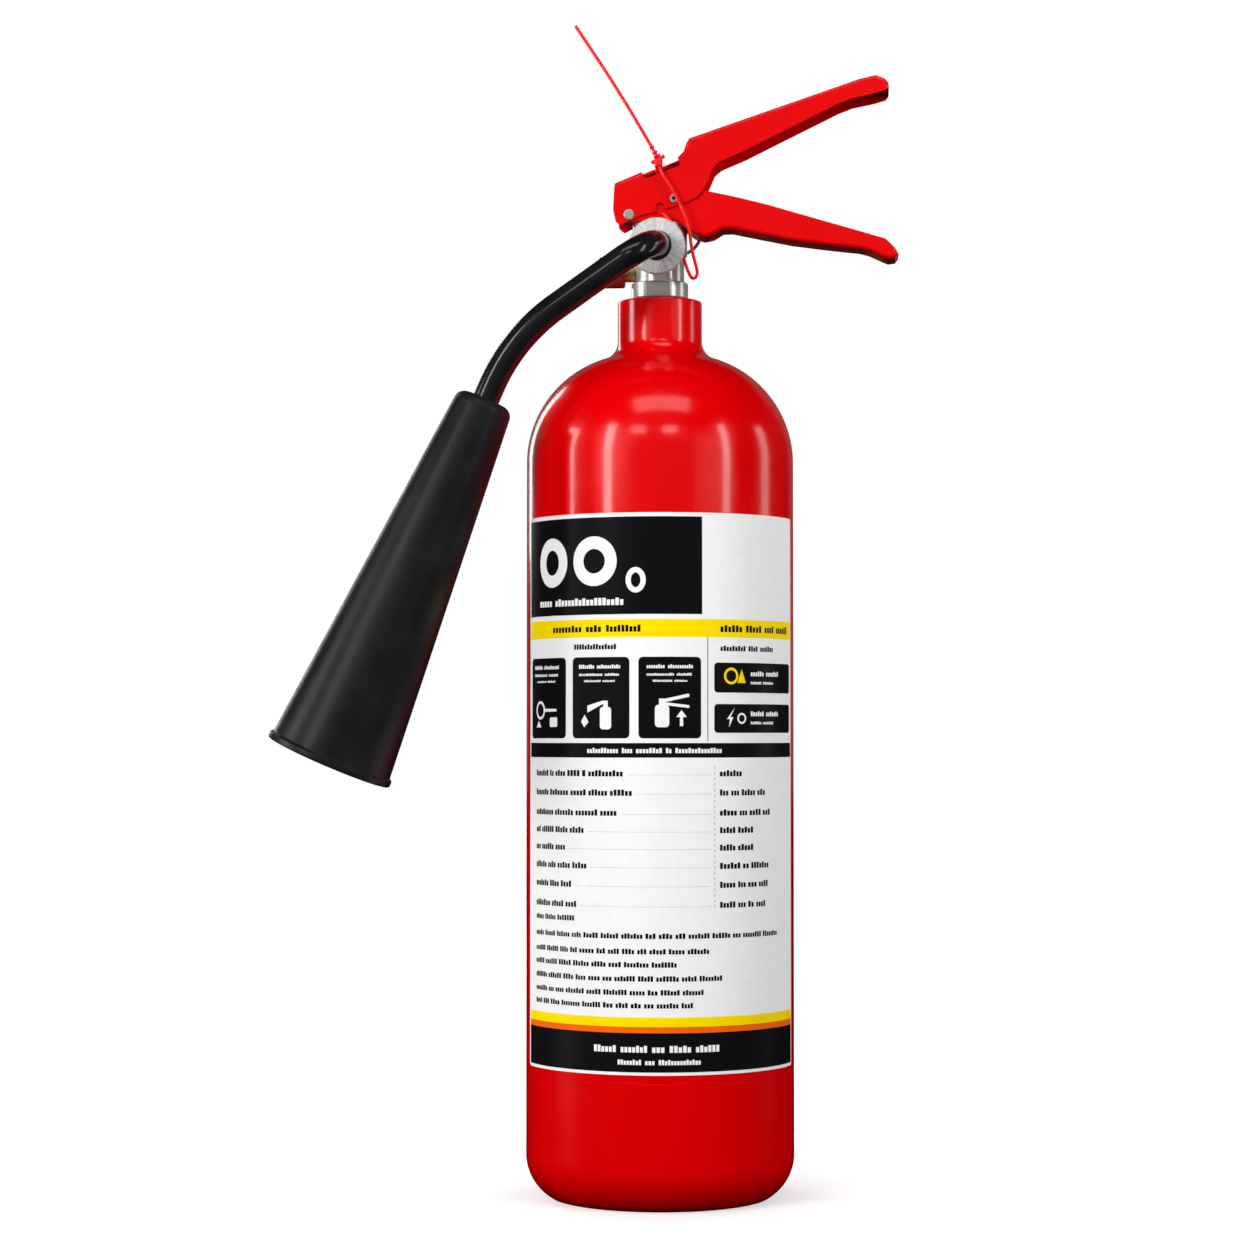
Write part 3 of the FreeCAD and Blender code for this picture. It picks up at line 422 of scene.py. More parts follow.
class BuildCylinder(bpy.types.Operator):
    """Builds the painted cylinder"""

    bl_idname = "extinguisher.cylinder"
    bl_label = "Cylinder"

    def execute(self, context):
        sizes = context.scene.shell_settings
        piece = finished(shell_mesh(sizes), "painted_cylinder", "cylinder",
                         bpy.data.materials["red_enamel"], 35)
        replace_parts(piece, "cylinder_shell")
        return {"FINISHED"}


# The label, drawn flat in millimetres (along the wall, height) and then wrapped round it.
LABEL_TURN = math.radians(4.5)
WALL = SHELL_HIGH.x / MM
FILM_TOP = 0.25
STRIP = 3.0
LEFT, RIGHT = -85.4, 86.4
MARGIN = -77.0
VALUES = 29.6


class Artwork:
    """Flat shapes of one colour, wrapped on the cylinder at the end."""

    def __init__(self, level):
        self.mesh = bmesh.new()
        self.level = level
        self.origin = (0, 0)
        self.draw = random.Random(5)

    def add(self, verts, low, high, turn=0.0):
        """Stands shapes drawn about zero upright in the middle of a box."""
        across = (low[0] + high[0]) / 2 + self.origin[0]
        up = (low[1] + high[1]) / 2 + self.origin[1]
        place = Matrix.Translation((across, 0, up)) @ Matrix.Rotation(-turn, 4, "Y")
        upright = place @ Matrix.Rotation(math.pi / 2, 4, "X")
        bmesh.ops.transform(self.mesh, matrix=upright, verts=verts)

    def block(self, low, high, corner=0.0, turn=0.0):
        """A rectangle, with rounded corners if asked."""
        made = bmesh.ops.create_grid(self.mesh, x_segments=1, y_segments=1, size=0.5)["verts"]
        bmesh.ops.scale(self.mesh, vec=(high[0] - low[0], high[1] - low[1], 1), verts=made)
        if corner:
            made = self.rounded(made, corner)
        self.add(made, low, high, turn)

    def rounded(self, verts, corner):
        made = bmesh.ops.bevel(self.mesh, geom=verts, offset=corner, segments=4,
                               affect="VERTICES", profile=0.5, material=-1)
        return list({vert for face in made["faces"] for vert in face.verts} | set(made["verts"]))

    def oval(self, low, high, stroke, sides=40):
        """A thick oval outline: an inset disc without its middle."""
        made = bmesh.ops.create_circle(self.mesh, cap_ends=True, radius=0.5,
                                       segments=sides)["verts"]
        bmesh.ops.scale(self.mesh, vec=(high[0] - low[0], high[1] - low[1], 1), verts=made)
        face = made[0].link_faces[0]
        bmesh.ops.inset_region(self.mesh, faces=[face], thickness=stroke, use_even_offset=True,
                               use_boundary=True)
        verts = {vert for side in made for edge in side.link_edges for vert in edge.verts}
        bmesh.ops.delete(self.mesh, geom=[face], context="FACES_ONLY")
        self.add(list(verts), low, high)

    def ring(self, centre, radius, stroke):
        middle, reach = Vector(centre), Vector((radius, radius))
        self.oval(middle - reach, middle + reach, stroke, 28)

    def polygon(self, points):
        left, low = self.origin
        self.mesh.faces.new([self.mesh.verts.new((left + x, 0, low + z)) for x, z in points])

    def words(self, low, height, lengths, gap=1.1):
        """A greeked line of print: each word is a row of small blocks of uneven height."""
        at = low[0]
        for word in lengths:
            cells = max(1, round(word / (height * 0.62)))
            step = word / cells
            for i in range(cells):
                tall = height * (1.0 if self.draw.random() < 0.4 else 0.78)
                self.block((at + i * step, low[1]), (at + (i + 0.76) * step, low[1] + tall))
            at += word + gap

    def dots(self, start, end, height, step=1.3, size=0.28):
        for i in range(int((end - start) / step)):
            left = start + i * step
            self.block((left, height), (left + 2 * size, height + size))

    def wrapped(self, name, material, thick=0.05):
        """Cuts the shapes into strips, bends them round the wall and gives them a thickness."""
        for i in range(-30, 31):
            geometry = self.mesh.verts[:] + self.mesh.edges[:] + self.mesh.faces[:]
            bmesh.ops.bisect_plane(self.mesh, geom=geometry, plane_co=(i * STRIP, 0, 0),
                                   plane_no=X, dist=1e-4)
        made = bmesh.ops.extrude_face_region(self.mesh, geom=self.mesh.faces[:])
        outer = {item for item in made["geom"] if isinstance(item, bmesh.types.BMVert)}
        for vert in self.mesh.verts:
            angle = vert.co.x / WALL + LABEL_TURN
            away = WALL + FILM_TOP + self.level + (thick if vert in outer else 0)
            vert.co = Vector((away * math.sin(angle), -away * math.cos(angle), vert.co.z)) * MM
        return finished(self.mesh, name, "cylinder", material, 25)


def title_art(ink, white):
    """The black title panel with its greeked title."""
    ink.block((LEFT, 292.5), (20.3, 340.3))
    for low, high, stroke in (((-73.0, 306.5), (-50.5, 331.0), 6.0),
                              ((-46.5, 306.5), (-22.0, 331.0), 6.2),
                              ((-17.5, 303.0), (-7.5, 315.5), 2.6)):
        white.oval(low, high, stroke)
    white.words((-73.0, 297.0), 3.6, (11.5, 41.0), 2.4)


def pictogram_pin(white):
    """A pin with its ring drawn out to the side."""
    white.ring((8.5, 12.5), 4.6, 1.3)
    white.block((12.5, 11.8), (23.0, 13.2), 0.5)
    white.block((17.5, 4.2), (23.5, 9.0), 1.0)
    white.polygon(((4.0, 4.0), (9.5, 4.0), (6.8, 7.4)))


def pictogram_aim(white):
    """A cylinder whose horn points at a flame."""
    white.block((14.0, 3.0), (20.0, 14.0), 1.6)
    white.block((15.8, 13.6), (18.2, 17.0))
    white.polygon(((16.0, 15.6), (16.0, 17.2), (7.0, 14.6), (7.0, 11.2)))
    white.polygon(((5.2, 4.0), (7.6, 6.6), (5.4, 10.2), (3.2, 6.8)))


def pictogram_squeeze(white):
    """Two handles with an arrow that presses them together."""
    white.block((6.0, 4.0), (13.0, 15.0), 1.8)
    white.block((8.0, 14.6), (11.0, 18.0))
    white.block((9.0, 17.4), (23.0, 19.0), 0.5, 0.22)
    white.block((9.0, 14.2), (23.0, 15.6), 0.5, -0.12)
    white.polygon(((16.4, 9.0), (21.6, 9.0), (19.0, 12.4)))
    white.block((18.2, 4.6), (19.8, 9.0))


def instruction_art(ink, white, yellow):
    """The yellow bar, the three steps and the two classes of fire."""
    yellow.block((LEFT, 281.3), (RIGHT, 290.1))
    ink.words((-61.0, 283.9), 3.4, (20.0, 9.0, 18.0), 2.2)
    ink.words((30.0, 283.9), 3.4, (13.0, 11.0, 8.0, 12.5), 2.0)
    ink.words((-46.0, 275.4), 2.6, (24.0,))
    ink.words((30.0, 274.6), 2.6, (15.0, 6.5, 10.5), 1.6)
    ink.block((23.0, 230.4), (23.35, 281.3))
    for drawing, left, right in ((pictogram_pin, -83.2, -51.5), (pictogram_aim, -46.9, -15.6),
                                 (pictogram_squeeze, -11.1, 19.7)):
        ink.block((left, 231.8), (right, 271.6), 2.2)
        white.words((left + 4.0, 266.0), 1.9, (9.0, 12.5), 1.4)
        white.words((left + 4.0, 262.4), 1.3, (13.5, 7.5), 1.2)
        white.words((left + 7.0, 259.4), 1.0, (9.5, 6.5), 1.0)
        white.origin = (left + 2.0, 233.2)
        drawing(white)
        white.origin = (0, 0)
    for low, high in ((254.2, 268.9), (234.5, 248.6)):
        ink.block((26.6, low), (84.4, high), 1.8)
        white.words((48.0, low + 8.2), 2.4, (9.5, 11.0), 1.6)
        white.words((48.0, low + 4.2), 1.4, (7.5, 8.5), 1.2)
    yellow.ring((36.0, 262.4), 4.1, 1.2)
    yellow.polygon(((39.6, 259.0), (44.8, 259.0), (42.2, 265.8)))
    white.polygon(((34.6, 237.2), (37.2, 242.2), (35.4, 242.2), (38.0, 246.8), (33.4, 241.2),
                   (35.2, 241.2)))
    white.ring((42.2, 241.6), 2.7, 0.9)


def specification_art(ink, white, grey):
    """The black bar and the rows of the specification, as greeked print."""
    ink.block((LEFT, 222.4), (RIGHT, 229.5))
    white.words((-38.0, 224.6), 2.5, (17.0, 5.5, 13.0, 3.0, 24.0), 1.6)
    rows = ((214.8, (15, 4, 9, 10, 3, 23), (13,)), (205.4, (15, 17, 12, 13, 14), (5, 5, 9, 6)),
            (195.6, (20, 16, 16, 11), (10, 5, 8, 6)), (187.0, (6, 13, 11, 11), (9, 10)),
            (178.5, (6, 13, 9), (9, 10)), (169.6, (13, 8, 11, 11), (12, 4, 13)),
            (160.4, (15, 9, 9), (9, 5, 6, 7)), (150.6, (17, 11, 9), (9, 5, 4, 7)))
    gap, dots_end = 1.2, 26.0
    for height, name, value in rows:
        lengths = [word * 0.82 for word in name]
        ink.words((MARGIN, height - 1.6), 3.0, lengths, gap)
        end = MARGIN + sum(lengths) + gap * len(lengths)
        grey.dots(end + 1.0, dots_end, height - 1.0)
        ink.words((VALUES, height - 1.6), 3.0, value, 1.3)
    for i in range(26):
        grey.block((26.6, 149.0 + 2.7 * i), (26.95, 150.6 + 2.7 * i))


def caution_art(ink, white, yellow, orange):
    """The lines of small print, the stripes and the black foot."""
    draw = random.Random(11)
    gap = 1.2
    for height, wide in ((143.7, 30), (135.7, 150), (128.2, 106), (121.8, 86), (115.0, 116),
                         (108.3, 102), (102.0, 100)):
        lengths = []
        while sum(lengths) + gap * len(lengths) < wide - 8:
            lengths.append(draw.uniform(4.5, 12.5))
        ink.words((MARGIN, height - 1.4), 2.6, lengths, gap)
    yellow.block((LEFT, 91.6), (RIGHT, 96.2))
    orange.block((LEFT, 88.6), (RIGHT, 91.6))
    ink.block((LEFT, 69.6), (RIGHT, 88.6))
    white.words((-34.0, 79.2), 3.3, (12.0, 13.5, 6.5, 11.0, 12.5), 2.0)
    white.words((-21.5, 73.2), 2.5, (12.0, 5.0, 21.0), 1.6)


class BuildLabel(bpy.types.Operator):
    """Builds the printed label"""

    bl_idname = "extinguisher.label"
    bl_label = "Label"

    def execute(self, context):
        colours = context.scene.label_settings
        film_thick = 0.18
        film = Artwork(-film_thick)
        film.block((-87.0, LABEL_LOW.z / MM), (87.6, LABEL_HIGH.z / MM), 1.5)
        ink, yellow, orange, grey = (Artwork(0.0) for _ in range(4))
        white = Artwork(0.06)
        title_art(ink, white)
        instruction_art(ink, white, yellow)
        specification_art(ink, white, grey)
        caution_art(ink, white, yellow, orange)
        paper = label_film("label_white", colours.film)
        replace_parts(film.wrapped("label_film", paper, film_thick), "label")
        ink.wrapped("label_black_print", label_film("label_black", (0.005, 0.005, 0.006), 0.3))
        yellow.wrapped("label_yellow_print", label_film("label_yellow", colours.yellow))
        orange.wrapped("label_orange_print", label_film("label_orange", colours.orange))
        grey.wrapped("label_grey_print", label_film("label_grey", (0.35, 0.35, 0.35)))
        white.wrapped("label_white_print", label_film("label_bright", (0.86, 0.86, 0.86)))
        return {"FINISHED"}


# The pipe and the horn. The pipe comes out of the nut, turns down at the elbow and bends once
# more at the corner, into the horn.
OUT = Vector((0, -1, 0))
PIPE_SLOPE, HORN_LEAN = math.radians(35), math.radians(23.5)
ACROSS = Vector((-math.cos(PIPE_SLOPE), 0, -math.sin(PIPE_SLOPE)))
DOWN = Vector((-math.sin(HORN_LEAN), 0, -math.cos(HORN_LEAN)))
ELBOW_RUN, ELBOW_BEND, CORNER_BEND = 85.65 * MM, 20 * MM, 95 * MM
ELBOW = Vector((0, -48 * MM, OUTLET.z))
CORNER = ELBOW + ACROSS * ELBOW_RUN
HORN_START = CORNER + DOWN * 33.5 * MM
HORN_LENGTH, HORN_RIM = 197.0, 3.6
PIPE_ROOT = 17.2


class BuildHorn(bpy.types.Operator):
    """Builds the moulded horn"""

    bl_idname = "extinguisher.horn"
    bl_label = "Horn"

    def execute(self, context):
        colour = context.scene.horn_settings.plastic
        shoulder = HORN_LENGTH - HORN_RIM
        points = ((6.85, 0, 0.5), (14.5, 0, 5.5), (31.3, shoulder, 0.9), (32.7, shoulder, 0.8),
                  (32.7, HORN_LENGTH, 0.9), (29.1, HORN_LENGTH, 0.7), (14.4, 24, 1.5),
                  (5.2, 24, 0), (5.2, 16, 0), (6.85, 16, 0))
        outline = arc_profile([(r * MM, s * MM, size * MM) for r, s, size in points], 8)
        mesh = spun(outline, 128, axis_place(HORN_START, DOWN))
        plastic = moulded_black("horn_plastic", colour, 0.36, 1100, 0.00006)
        piece = finished(mesh, "moulded_horn", "horn_assembly", plastic, 50)
        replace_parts(piece, "horn")
        return {"FINISHED"}


def swept_bend(mesh, face, corner, before, after, radius, steps):
    """Carries the end of a bar round a bend between two directions that meet at a corner."""
    axis = before.cross(after).normalized()
    turn = before.angle(after)
    start = corner - before * radius * math.tan(turn / 2)
    centre = start + axis.cross(before) * radius
    made = bmesh.ops.spin(mesh, geom=[face], cent=centre, axis=axis, angle=turn, steps=steps)
    return [item for item in made["geom_last"] if isinstance(item, bmesh.types.BMFace)][0]


def without_inner_faces(mesh):
    """Takes out the faces that the sweeps leave inside a bar."""
    inner = [face for face in mesh.faces if all(len(edge.link_faces) > 2 for edge in face.edges)]
    bmesh.ops.delete(mesh, geom=inner, context="FACES_ONLY")
    return mesh


def outlet_piece(name, points, arc_steps, steps, material, smooth, closed=False):
    """Turns (radius, distance to the front, corner) in millimetres about the outlet's axis."""
    outline = arc_profile([(r * MM, s * MM, size * MM) for r, s, size in points], arc_steps)
    mesh = spun(outline, steps, axis_place((0, 0, OUTLET.z), OUT), closed=closed)
    return finished(mesh, name, "horn_assembly", material, smooth)


class BuildPipe(bpy.types.Operator):
    """Builds the bent discharge pipe and the ring at its root"""

    bl_idname = "extinguisher.pipe"
    bl_label = "Discharge pipe"

    def execute(self, context):
        colour = context.scene.horn_settings.enamel
        enamel = moulded_black("pipe_enamel", colour, 0.16, 500, 0.00001, 0.6)
        root = Vector((0, -PIPE_ROOT * MM, OUTLET.z))
        into_horn = 15.5 * MM
        bend_reach = CORNER_BEND * math.tan(ACROSS.angle(DOWN) / 2)
        mesh = bmesh.new()
        ring = bmesh.ops.create_circle(mesh, cap_ends=True, radius=6.75 * MM, segments=40,
                                       matrix=axis_place(root, OUT))
        face = ring["verts"][0].link_faces[0]
        face = extruded(mesh, face, OUT * ((ELBOW - root).length - ELBOW_BEND))
        face = swept_bend(mesh, face, ELBOW, OUT, ACROSS, ELBOW_BEND, 24)
        face = extruded(mesh, face, ACROSS * (ELBOW_RUN - ELBOW_BEND - bend_reach))
        face = swept_bend(mesh, face, CORNER, ACROSS, DOWN, CORNER_BEND, 24)
        extruded(mesh, face, DOWN * ((HORN_START - CORNER).length + into_horn - bend_reach))
        pipe = finished(without_inner_faces(mesh), "bent_pipe", "horn_assembly",
                        enamel, 40)
        flange_top, spigot_end = 19.2, 11.75
        flange = ((0, PIPE_ROOT, 0), (8.55, PIPE_ROOT, 0.3), (8.55, flange_top, 0.3),
                  (0, flange_top, 0))
        spigot = ((0, spigot_end, 0), (4.95, spigot_end, 0.4), (4.95, PIPE_ROOT + 0.1, 0),
                  (0, PIPE_ROOT + 0.1, 0))
        flange = outlet_piece("pipe_flange", flange, 3, 48, enamel, 40)
        spigot = outlet_piece("pipe_spigot", spigot, 3, 48, enamel, 40)
        for piece in (pipe, flange, spigot):
            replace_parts(piece, "discharge_pipe")
        back = NUT_FRONT / MM + 0.3
        front = back + 1.5
        grommet = ((6.8, back, 0), (7.65, back, 0.25), (7.65, front, 0.6), (6.8, front, 0))
        rubber = moulded_black("seal_rubber", (0.010, 0.010, 0.010), 0.6, 1600, 0.00008)
        piece = outlet_piece("pipe_grommet", grommet, 5, 64, rubber, 50, closed=True)
        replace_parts(piece, "pipe_ring")
        return {"FINISHED"}


# The pressed handles. Their side outlines are in millimetres from the pivot, along X and Z.
LEVER_TOP = [
    (132.1, 63.3), (131.9, 65.6), (130.3, 67.7), (125.5, 69.7), (117.1, 67.8), (30.8, 38.9),
    (29.2, 36.3), (27.9, 32.3), (24.3, 28.7), (17.2, 25.9), (11.0, 23.8), (-7.4, 16.3),
]
LEVER_BOTTOM = [
    (-8.1, 2.9), (-6.9, -3.2), (-4.2, -5.4), (3.9, -1.0), (13.4, 1.2), (13.7, 5.0),
    (15.75, 6.1), (17.8, 5.0), (18.4, 2.6), (28.9, 5.8), (34.3, 8.2), (37.2, 11.3),
    (40.2, 17.8), (42.5, 23.3), (46.0, 26.4), (58.9, 31.8), (76.6, 40.5), (94.5, 49.2),
    (106.3, 55.0), (113.5, 57.7), (124.3, 59.8), (130.6, 61.6),
]
HANDLE_BOTTOM = [
    (-5.6, -3.2), (22.5, -3.2), (24.9, -4.3), (28.4, -6.6), (33.1, -9.9), (37.8, -11.3),
    (42.5, -10.3), (47.2, -7.4), (51.9, -7.2), (64.9, -10.0), (82.6, -13.7), (100.5, -16.2),
    (117.2, -18.2), (122.0, -19.5), (127.9, -22.3), (131.4, -23.8), (135.0, -23.4),
    (136.8, -21.1), (135.0, -18.2),
]
HANDLE_TOP = [
    (130.2, -13.6), (118.2, -9.9), (94.5, -2.8), (70.8, 4.4), (54.3, 8.7), (38.4, 12.2),
    (26.0, 13.2), (14.9, 12.4), (2.0, 8.2), (-5.6, 4.6),
]


def channel_mesh(closed_side, open_side, half, bend):
    """A pressed channel: two walls and the web folded between them, as one open sheet."""
    mesh = bmesh.new()
    outline = [PIVOT + Vector((x * MM, -half, z * MM)) for x, z in closed_side + open_side]
    extruded(mesh, mesh.faces.new([mesh.verts.new(point) for point in outline]), Y * 2 * half)
    bmesh.ops.recalc_face_normals(mesh, faces=mesh.faces)
    web_points = {(round(x, 3), round(z, 3)) for x, z in closed_side}

    def place(vert):
        across = (vert.co - PIVOT) / MM
        return round(across.x, 3), round(across.z, 3)

    walls = [face for face in mesh.faces if len(face.verts) > 4]
    open_faces = [face for face in mesh.faces
                  if face not in walls and not {place(vert) for vert in face.verts} <= web_points]
    folds = [edge for edge in mesh.edges
             if any(face in walls for face in edge.link_faces)
             and not any(face in open_faces for face in edge.link_faces)]
    bmesh.ops.delete(mesh, geom=open_faces, context="FACES_ONLY")
    bmesh.ops.bevel(mesh, geom=folds, offset=bend, segments=5, affect="EDGES", profile=0.5,
                    material=-1, offset_type="OFFSET", clamp_overlap=True)
    return mesh


def cut_slot(mesh, start, long, y_high, slope):
    """Opens the slot that is lanced in the web, its floor sloping as the lever's top does."""
    turn = Matrix.Rotation(-slope, 3, "Y")
    along, up = turn @ X, turn @ Z
    cuts = ((start, along), (start + along * long, along), (start, up), (Y * y_high, Y))
    for point, normal in cuts:
        geometry = mesh.verts[:] + mesh.edges[:] + mesh.faces[:]
        bmesh.ops.bisect_plane(mesh, geom=geometry, plane_co=point, plane_no=normal, dist=1e-6)
    gone = []
    for face in mesh.faces:
        middle = face.calc_center_median()
        at = middle - start
        if 0 < at.dot(along) < long and at.dot(up) > 0 and middle.y < y_high:
            gone.append(face)
    bmesh.ops.delete(mesh, geom=gone, context="FACES")


def pressed_piece(mesh, name, body, node, plate, material):
    """Gives a pressed sheet its thickness and soft edges."""
    piece = finished(mesh, name, body, material, 38)
    wall = piece.modifiers.new("plate", "SOLIDIFY")
    wall.thickness = plate
    wall.offset = -1
    wall.use_even_offset = True
    wall.thickness_clamp = 1.5
    bevelled(piece, 0.35 * MM, 2, 50)
    even = piece.modifiers.new("flat_sides", "WEIGHTED_NORMAL")
    even.keep_sharp = True
    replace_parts(piece, node)


class BuildHandles(bpy.types.Operator):
    """Builds the lever and the carrying handle"""

    bl_idname = "extinguisher.handles"
    bl_label = "Handles"

    def execute(self, context):
        sizes = context.scene.handle_settings
        enamel = bpy.data.materials["red_enamel"]
        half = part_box("lever")[1].y
        lever = channel_mesh(LEVER_TOP, LEVER_BOTTOM, half, sizes.bend)
        slot_start, slot_floor = PIVOT.x + 8.0 * MM, PIVOT.z + 18.2 * MM
        slot_long, slot_wide, slot_slope = 19.5 * MM, 7.5 * MM, math.radians(20.2)
        cut_slot(lever, Vector((slot_start, 0, slot_floor)), slot_long, slot_wide - half,
                 slot_slope)
        pressed_piece(lever, "pressed_lever", "lever", "lever", sizes.plate, enamel)
        back, foot, half_wide = slot_start - sizes.plate, PIVOT.z + 4.8 * MM, 4 * MM
        end, inner, top = back + 10.4 * MM, foot + sizes.plate, PIVOT.z + 22.0 * MM
        corners = ((back, foot), (end, foot), (end, inner), (slot_start, inner),
                   (slot_start, top), (back, top))
        mesh = bmesh.new()
        side = mesh.faces.new([mesh.verts.new((x, -half_wide, z)) for x, z in corners])
        extruded(mesh, side, Y * 2 * half_wide)
        tab = bevelled(finished(mesh, "lever_tab", "lever", enamel), 0.4 * MM)
        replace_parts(tab, "lever")
        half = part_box("carry_handle")[1].y
        handle = channel_mesh(HANDLE_BOTTOM, HANDLE_TOP, half, sizes.bend)
        pressed_piece(handle, "pressed_carry_handle", "cylinder", "carry_handle", sizes.plate,
                      enamel)
        return {"FINISHED"}


# The valve and its small parts keep their CAD shapes.
METALS = {
    "valve_body": ("nickel_plate", (0.78, 0.76, 0.73), 0.2, 500, (1, 1, 6)),
    "gland_nut": ("turned_brass", (0.60, 0.42, 0.16), 0.25, 700, (1, 1, 5)),
    "siphon_adapter": ("sawn_brass", (0.58, 0.42, 0.18), 0.3, 700, (1, 1, 5)),
    "relief_plug": ("plug_brass", (0.60, 0.45, 0.22), 0.3, 700, (5, 1, 1)),
    "horn_nozzle": ("nozzle_brass", (0.60, 0.45, 0.22), 0.3, 700, (1, 1, 1)),
    "dip_tube": ("drawn_aluminium", (0.70, 0.71, 0.73), 0.3, 600, (8, 8, 1)),
    "burst_disc": ("rolled_foil", (0.70, 0.71, 0.73), 0.25, 600, (1, 1, 1)),
    "valve_stem": ("ground_steel", (0.55, 0.55, 0.56), 0.22, 900, (1, 1, 6)),
    "valve_spring": ("spring_wire", (0.45, 0.45, 0.47), 0.3, 900, (1, 1, 1)),
    "pivot_pin": ("rivet_steel", (0.74, 0.73, 0.72), 0.24, 1400, (1, 1, 1)),
    "safety_pin": ("pin_steel", (0.74, 0.73, 0.72), 0.22, 1400, (1, 5, 1)),
    "pull_ring": ("ring_steel", (0.60, 0.60, 0.60), 0.18, 1200, (1, 1, 1)),
}


class BuildFittings(bpy.types.Operator):
    """Gives the valve and its small parts their metals and rubbers"""

    bl_idname = "extinguisher.fittings"
    bl_label = "Valve and fittings"

    def execute(self, context):
        for node, (name, colour, rough, scale, stretch) in METALS.items():
            self.dress(node, plated_metal(name, colour, rough, scale, stretch))
        self.dress("swivel_nut", cast_disc_metal())
        self.dress("relief_cap", moulded_nylon("cap_plastic", (0.20, 0.018, 0.012), 0.35))
        rubber = moulded_black("packing_rubber", (0.012, 0.012, 0.012), 0.6, 1600, 0.00008)
        for node in ("neck_seal", "stem_seal", "valve_disc", "swivel_seal"):
            self.dress(node, rubber)
        return {"FINISHED"}

    def dress(self, node, material):
        piece = frame["nodes"][node]
        piece.data.materials.clear()
        piece.data.materials.append(material)


# The security seal: its strap follows the points that its CAD tube follows, in metres.
STRAP_ROUTE = [
    (0.0012, -0.0159, 0.5215), (0.0027, -0.0163, 0.5175), (0.0056, -0.0164, 0.5136),
    (0.0084, -0.0163, 0.5086), (0.0110, -0.0162, 0.5036), (0.0133, -0.0162, 0.4986),
    (0.0153, -0.0162, 0.4932), (0.0164, -0.0163, 0.4876), (0.0170, -0.0164, 0.4820),
    (0.0181, -0.0165, 0.4764), (0.0194, -0.0166, 0.4714), (0.0203, -0.0167, 0.4679),
    (0.0199, -0.0168, 0.4654), (0.0179, -0.0169, 0.4643), (0.0163, -0.0170, 0.4663),
    (0.0147, -0.0170, 0.4704), (0.0132, -0.0170, 0.4756), (0.0126, -0.0170, 0.4814),
    (0.0113, -0.0170, 0.4868), (0.0086, -0.0170, 0.4916), (0.0052, -0.0169, 0.4956),
    (0.0027, -0.0158, 0.4983), (0.0014, -0.0130, 0.4989), (0.0013, -0.0096, 0.4991),
    (0.0009, -0.0076, 0.5012), (0.0003, -0.0072, 0.5054), (-0.0001, -0.0072, 0.5106),
    (-0.0003, -0.0080, 0.5158), (-0.0004, -0.0104, 0.5196), (-0.0005, -0.0137, 0.5215),
]
TAIL_ROUTE = [
    (0.0001, -0.0148, 0.5265), (-0.0096, -0.0144, 0.5438), (-0.0203, -0.0136, 0.5616),
    (-0.0314, -0.0127, 0.5792), (-0.0423, -0.0120, 0.5956),
]


class BuildSeal(bpy.types.Operator):
    """Builds the security seal: its strap, its lock and its tail"""

    bl_idname = "extinguisher.seal"
    bl_label = "Security seal"

    def execute(self, context):
        sizes = context.scene.seal_settings
        nylon = moulded_nylon("seal_nylon", sizes.nylon)
        tail = round_bar("seal_spike", TAIL_ROUTE, 1.7 * MM, "cylinder", nylon)
        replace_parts(tail, "seal_tail")
        low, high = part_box("seal_lock")
        start = Vector(TAIL_ROUTE[0])
        along = (Vector(TAIL_ROUTE[1]) - start).normalized()
        flag, flag_turn = Vector((7.6, 1.6, 2.0)) * MM, math.radians(-28)
        mesh = bmesh.new()
        softened_box(mesh, high - low, (low + high) / 2, 0.9 * MM)
        softened_box(mesh, flag, start - Z * 0.6 * MM, 0.6 * MM, flag_turn)
        flat = Matrix.Diagonal((1, 1, 0.6, 1))
        for distance, radius in ((1.2, 1.9), (3.4, 1.5), (6.4, 1.35)):
            place = axis_place(start + along * distance * MM, along) @ flat
            bmesh.ops.create_uvsphere(mesh, u_segments=20, v_segments=12, radius=radius * MM,
                                      matrix=place)
        lock = finished(mesh, "seal_clasp", "cylinder", nylon, 50)
        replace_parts(lock, "seal_lock")
        strap = round_bar("seal_loop", STRAP_ROUTE, sizes.strap, "cylinder", nylon)
        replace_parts(strap, "seal_strap")
        return {"FINISHED"}


# The stage

# The fills only brighten; the lamps are mirrored too. Each lamp has a place, the height that it
# points at, a size in metres and a power in watts.
FILLS = (
    ("left_fill", (-1.35, -1.75, 0.9), 34), ("right_fill", (1.7, -1.45, 0.8), 29),
    ("back_left_fill", (-1.6, 1.7, 1.0), 24), ("back_right_fill", (1.3, 1.9, 1.0), 24),
)
LAMPS = (
    ("left_strip", (-0.80, -0.95, 0.75), 0.35, (0.16, 0.7), 3.4),
    ("right_strip", (1.15, -0.62, 0.75), 0.35, (0.16, 0.7), 2.2),
    ("left_side", (-1.35, -0.25, 0.5), 0.3, (0.30, 1.0), 7),
    ("right_side", (1.4, 0.35, 0.5), 0.3, (0.25, 1.0), 2),
    ("left_box", (-0.50, -1.8, 1.35), 0.35, (0.42, 0.28), 1.4),
    ("right_box", (0.42, -1.8, 1.35), 0.35, (0.42, 0.28), 1.4),
    ("front_glow", (0, -3.2, 1.2), 0.4, (3.6, 2.2), 2.2),
    ("back_glow", (0, 3.2, 1.2), 0.4, (3.6, 2.2), 2.2),
    ("top_box", (0.1, -0.9, 1.8), 0.4, (1.2, 0.5), 4),
    ("back_strip", (-0.9, 1.2, 0.8), 0.35, (0.2, 0.8), 2.5),
)


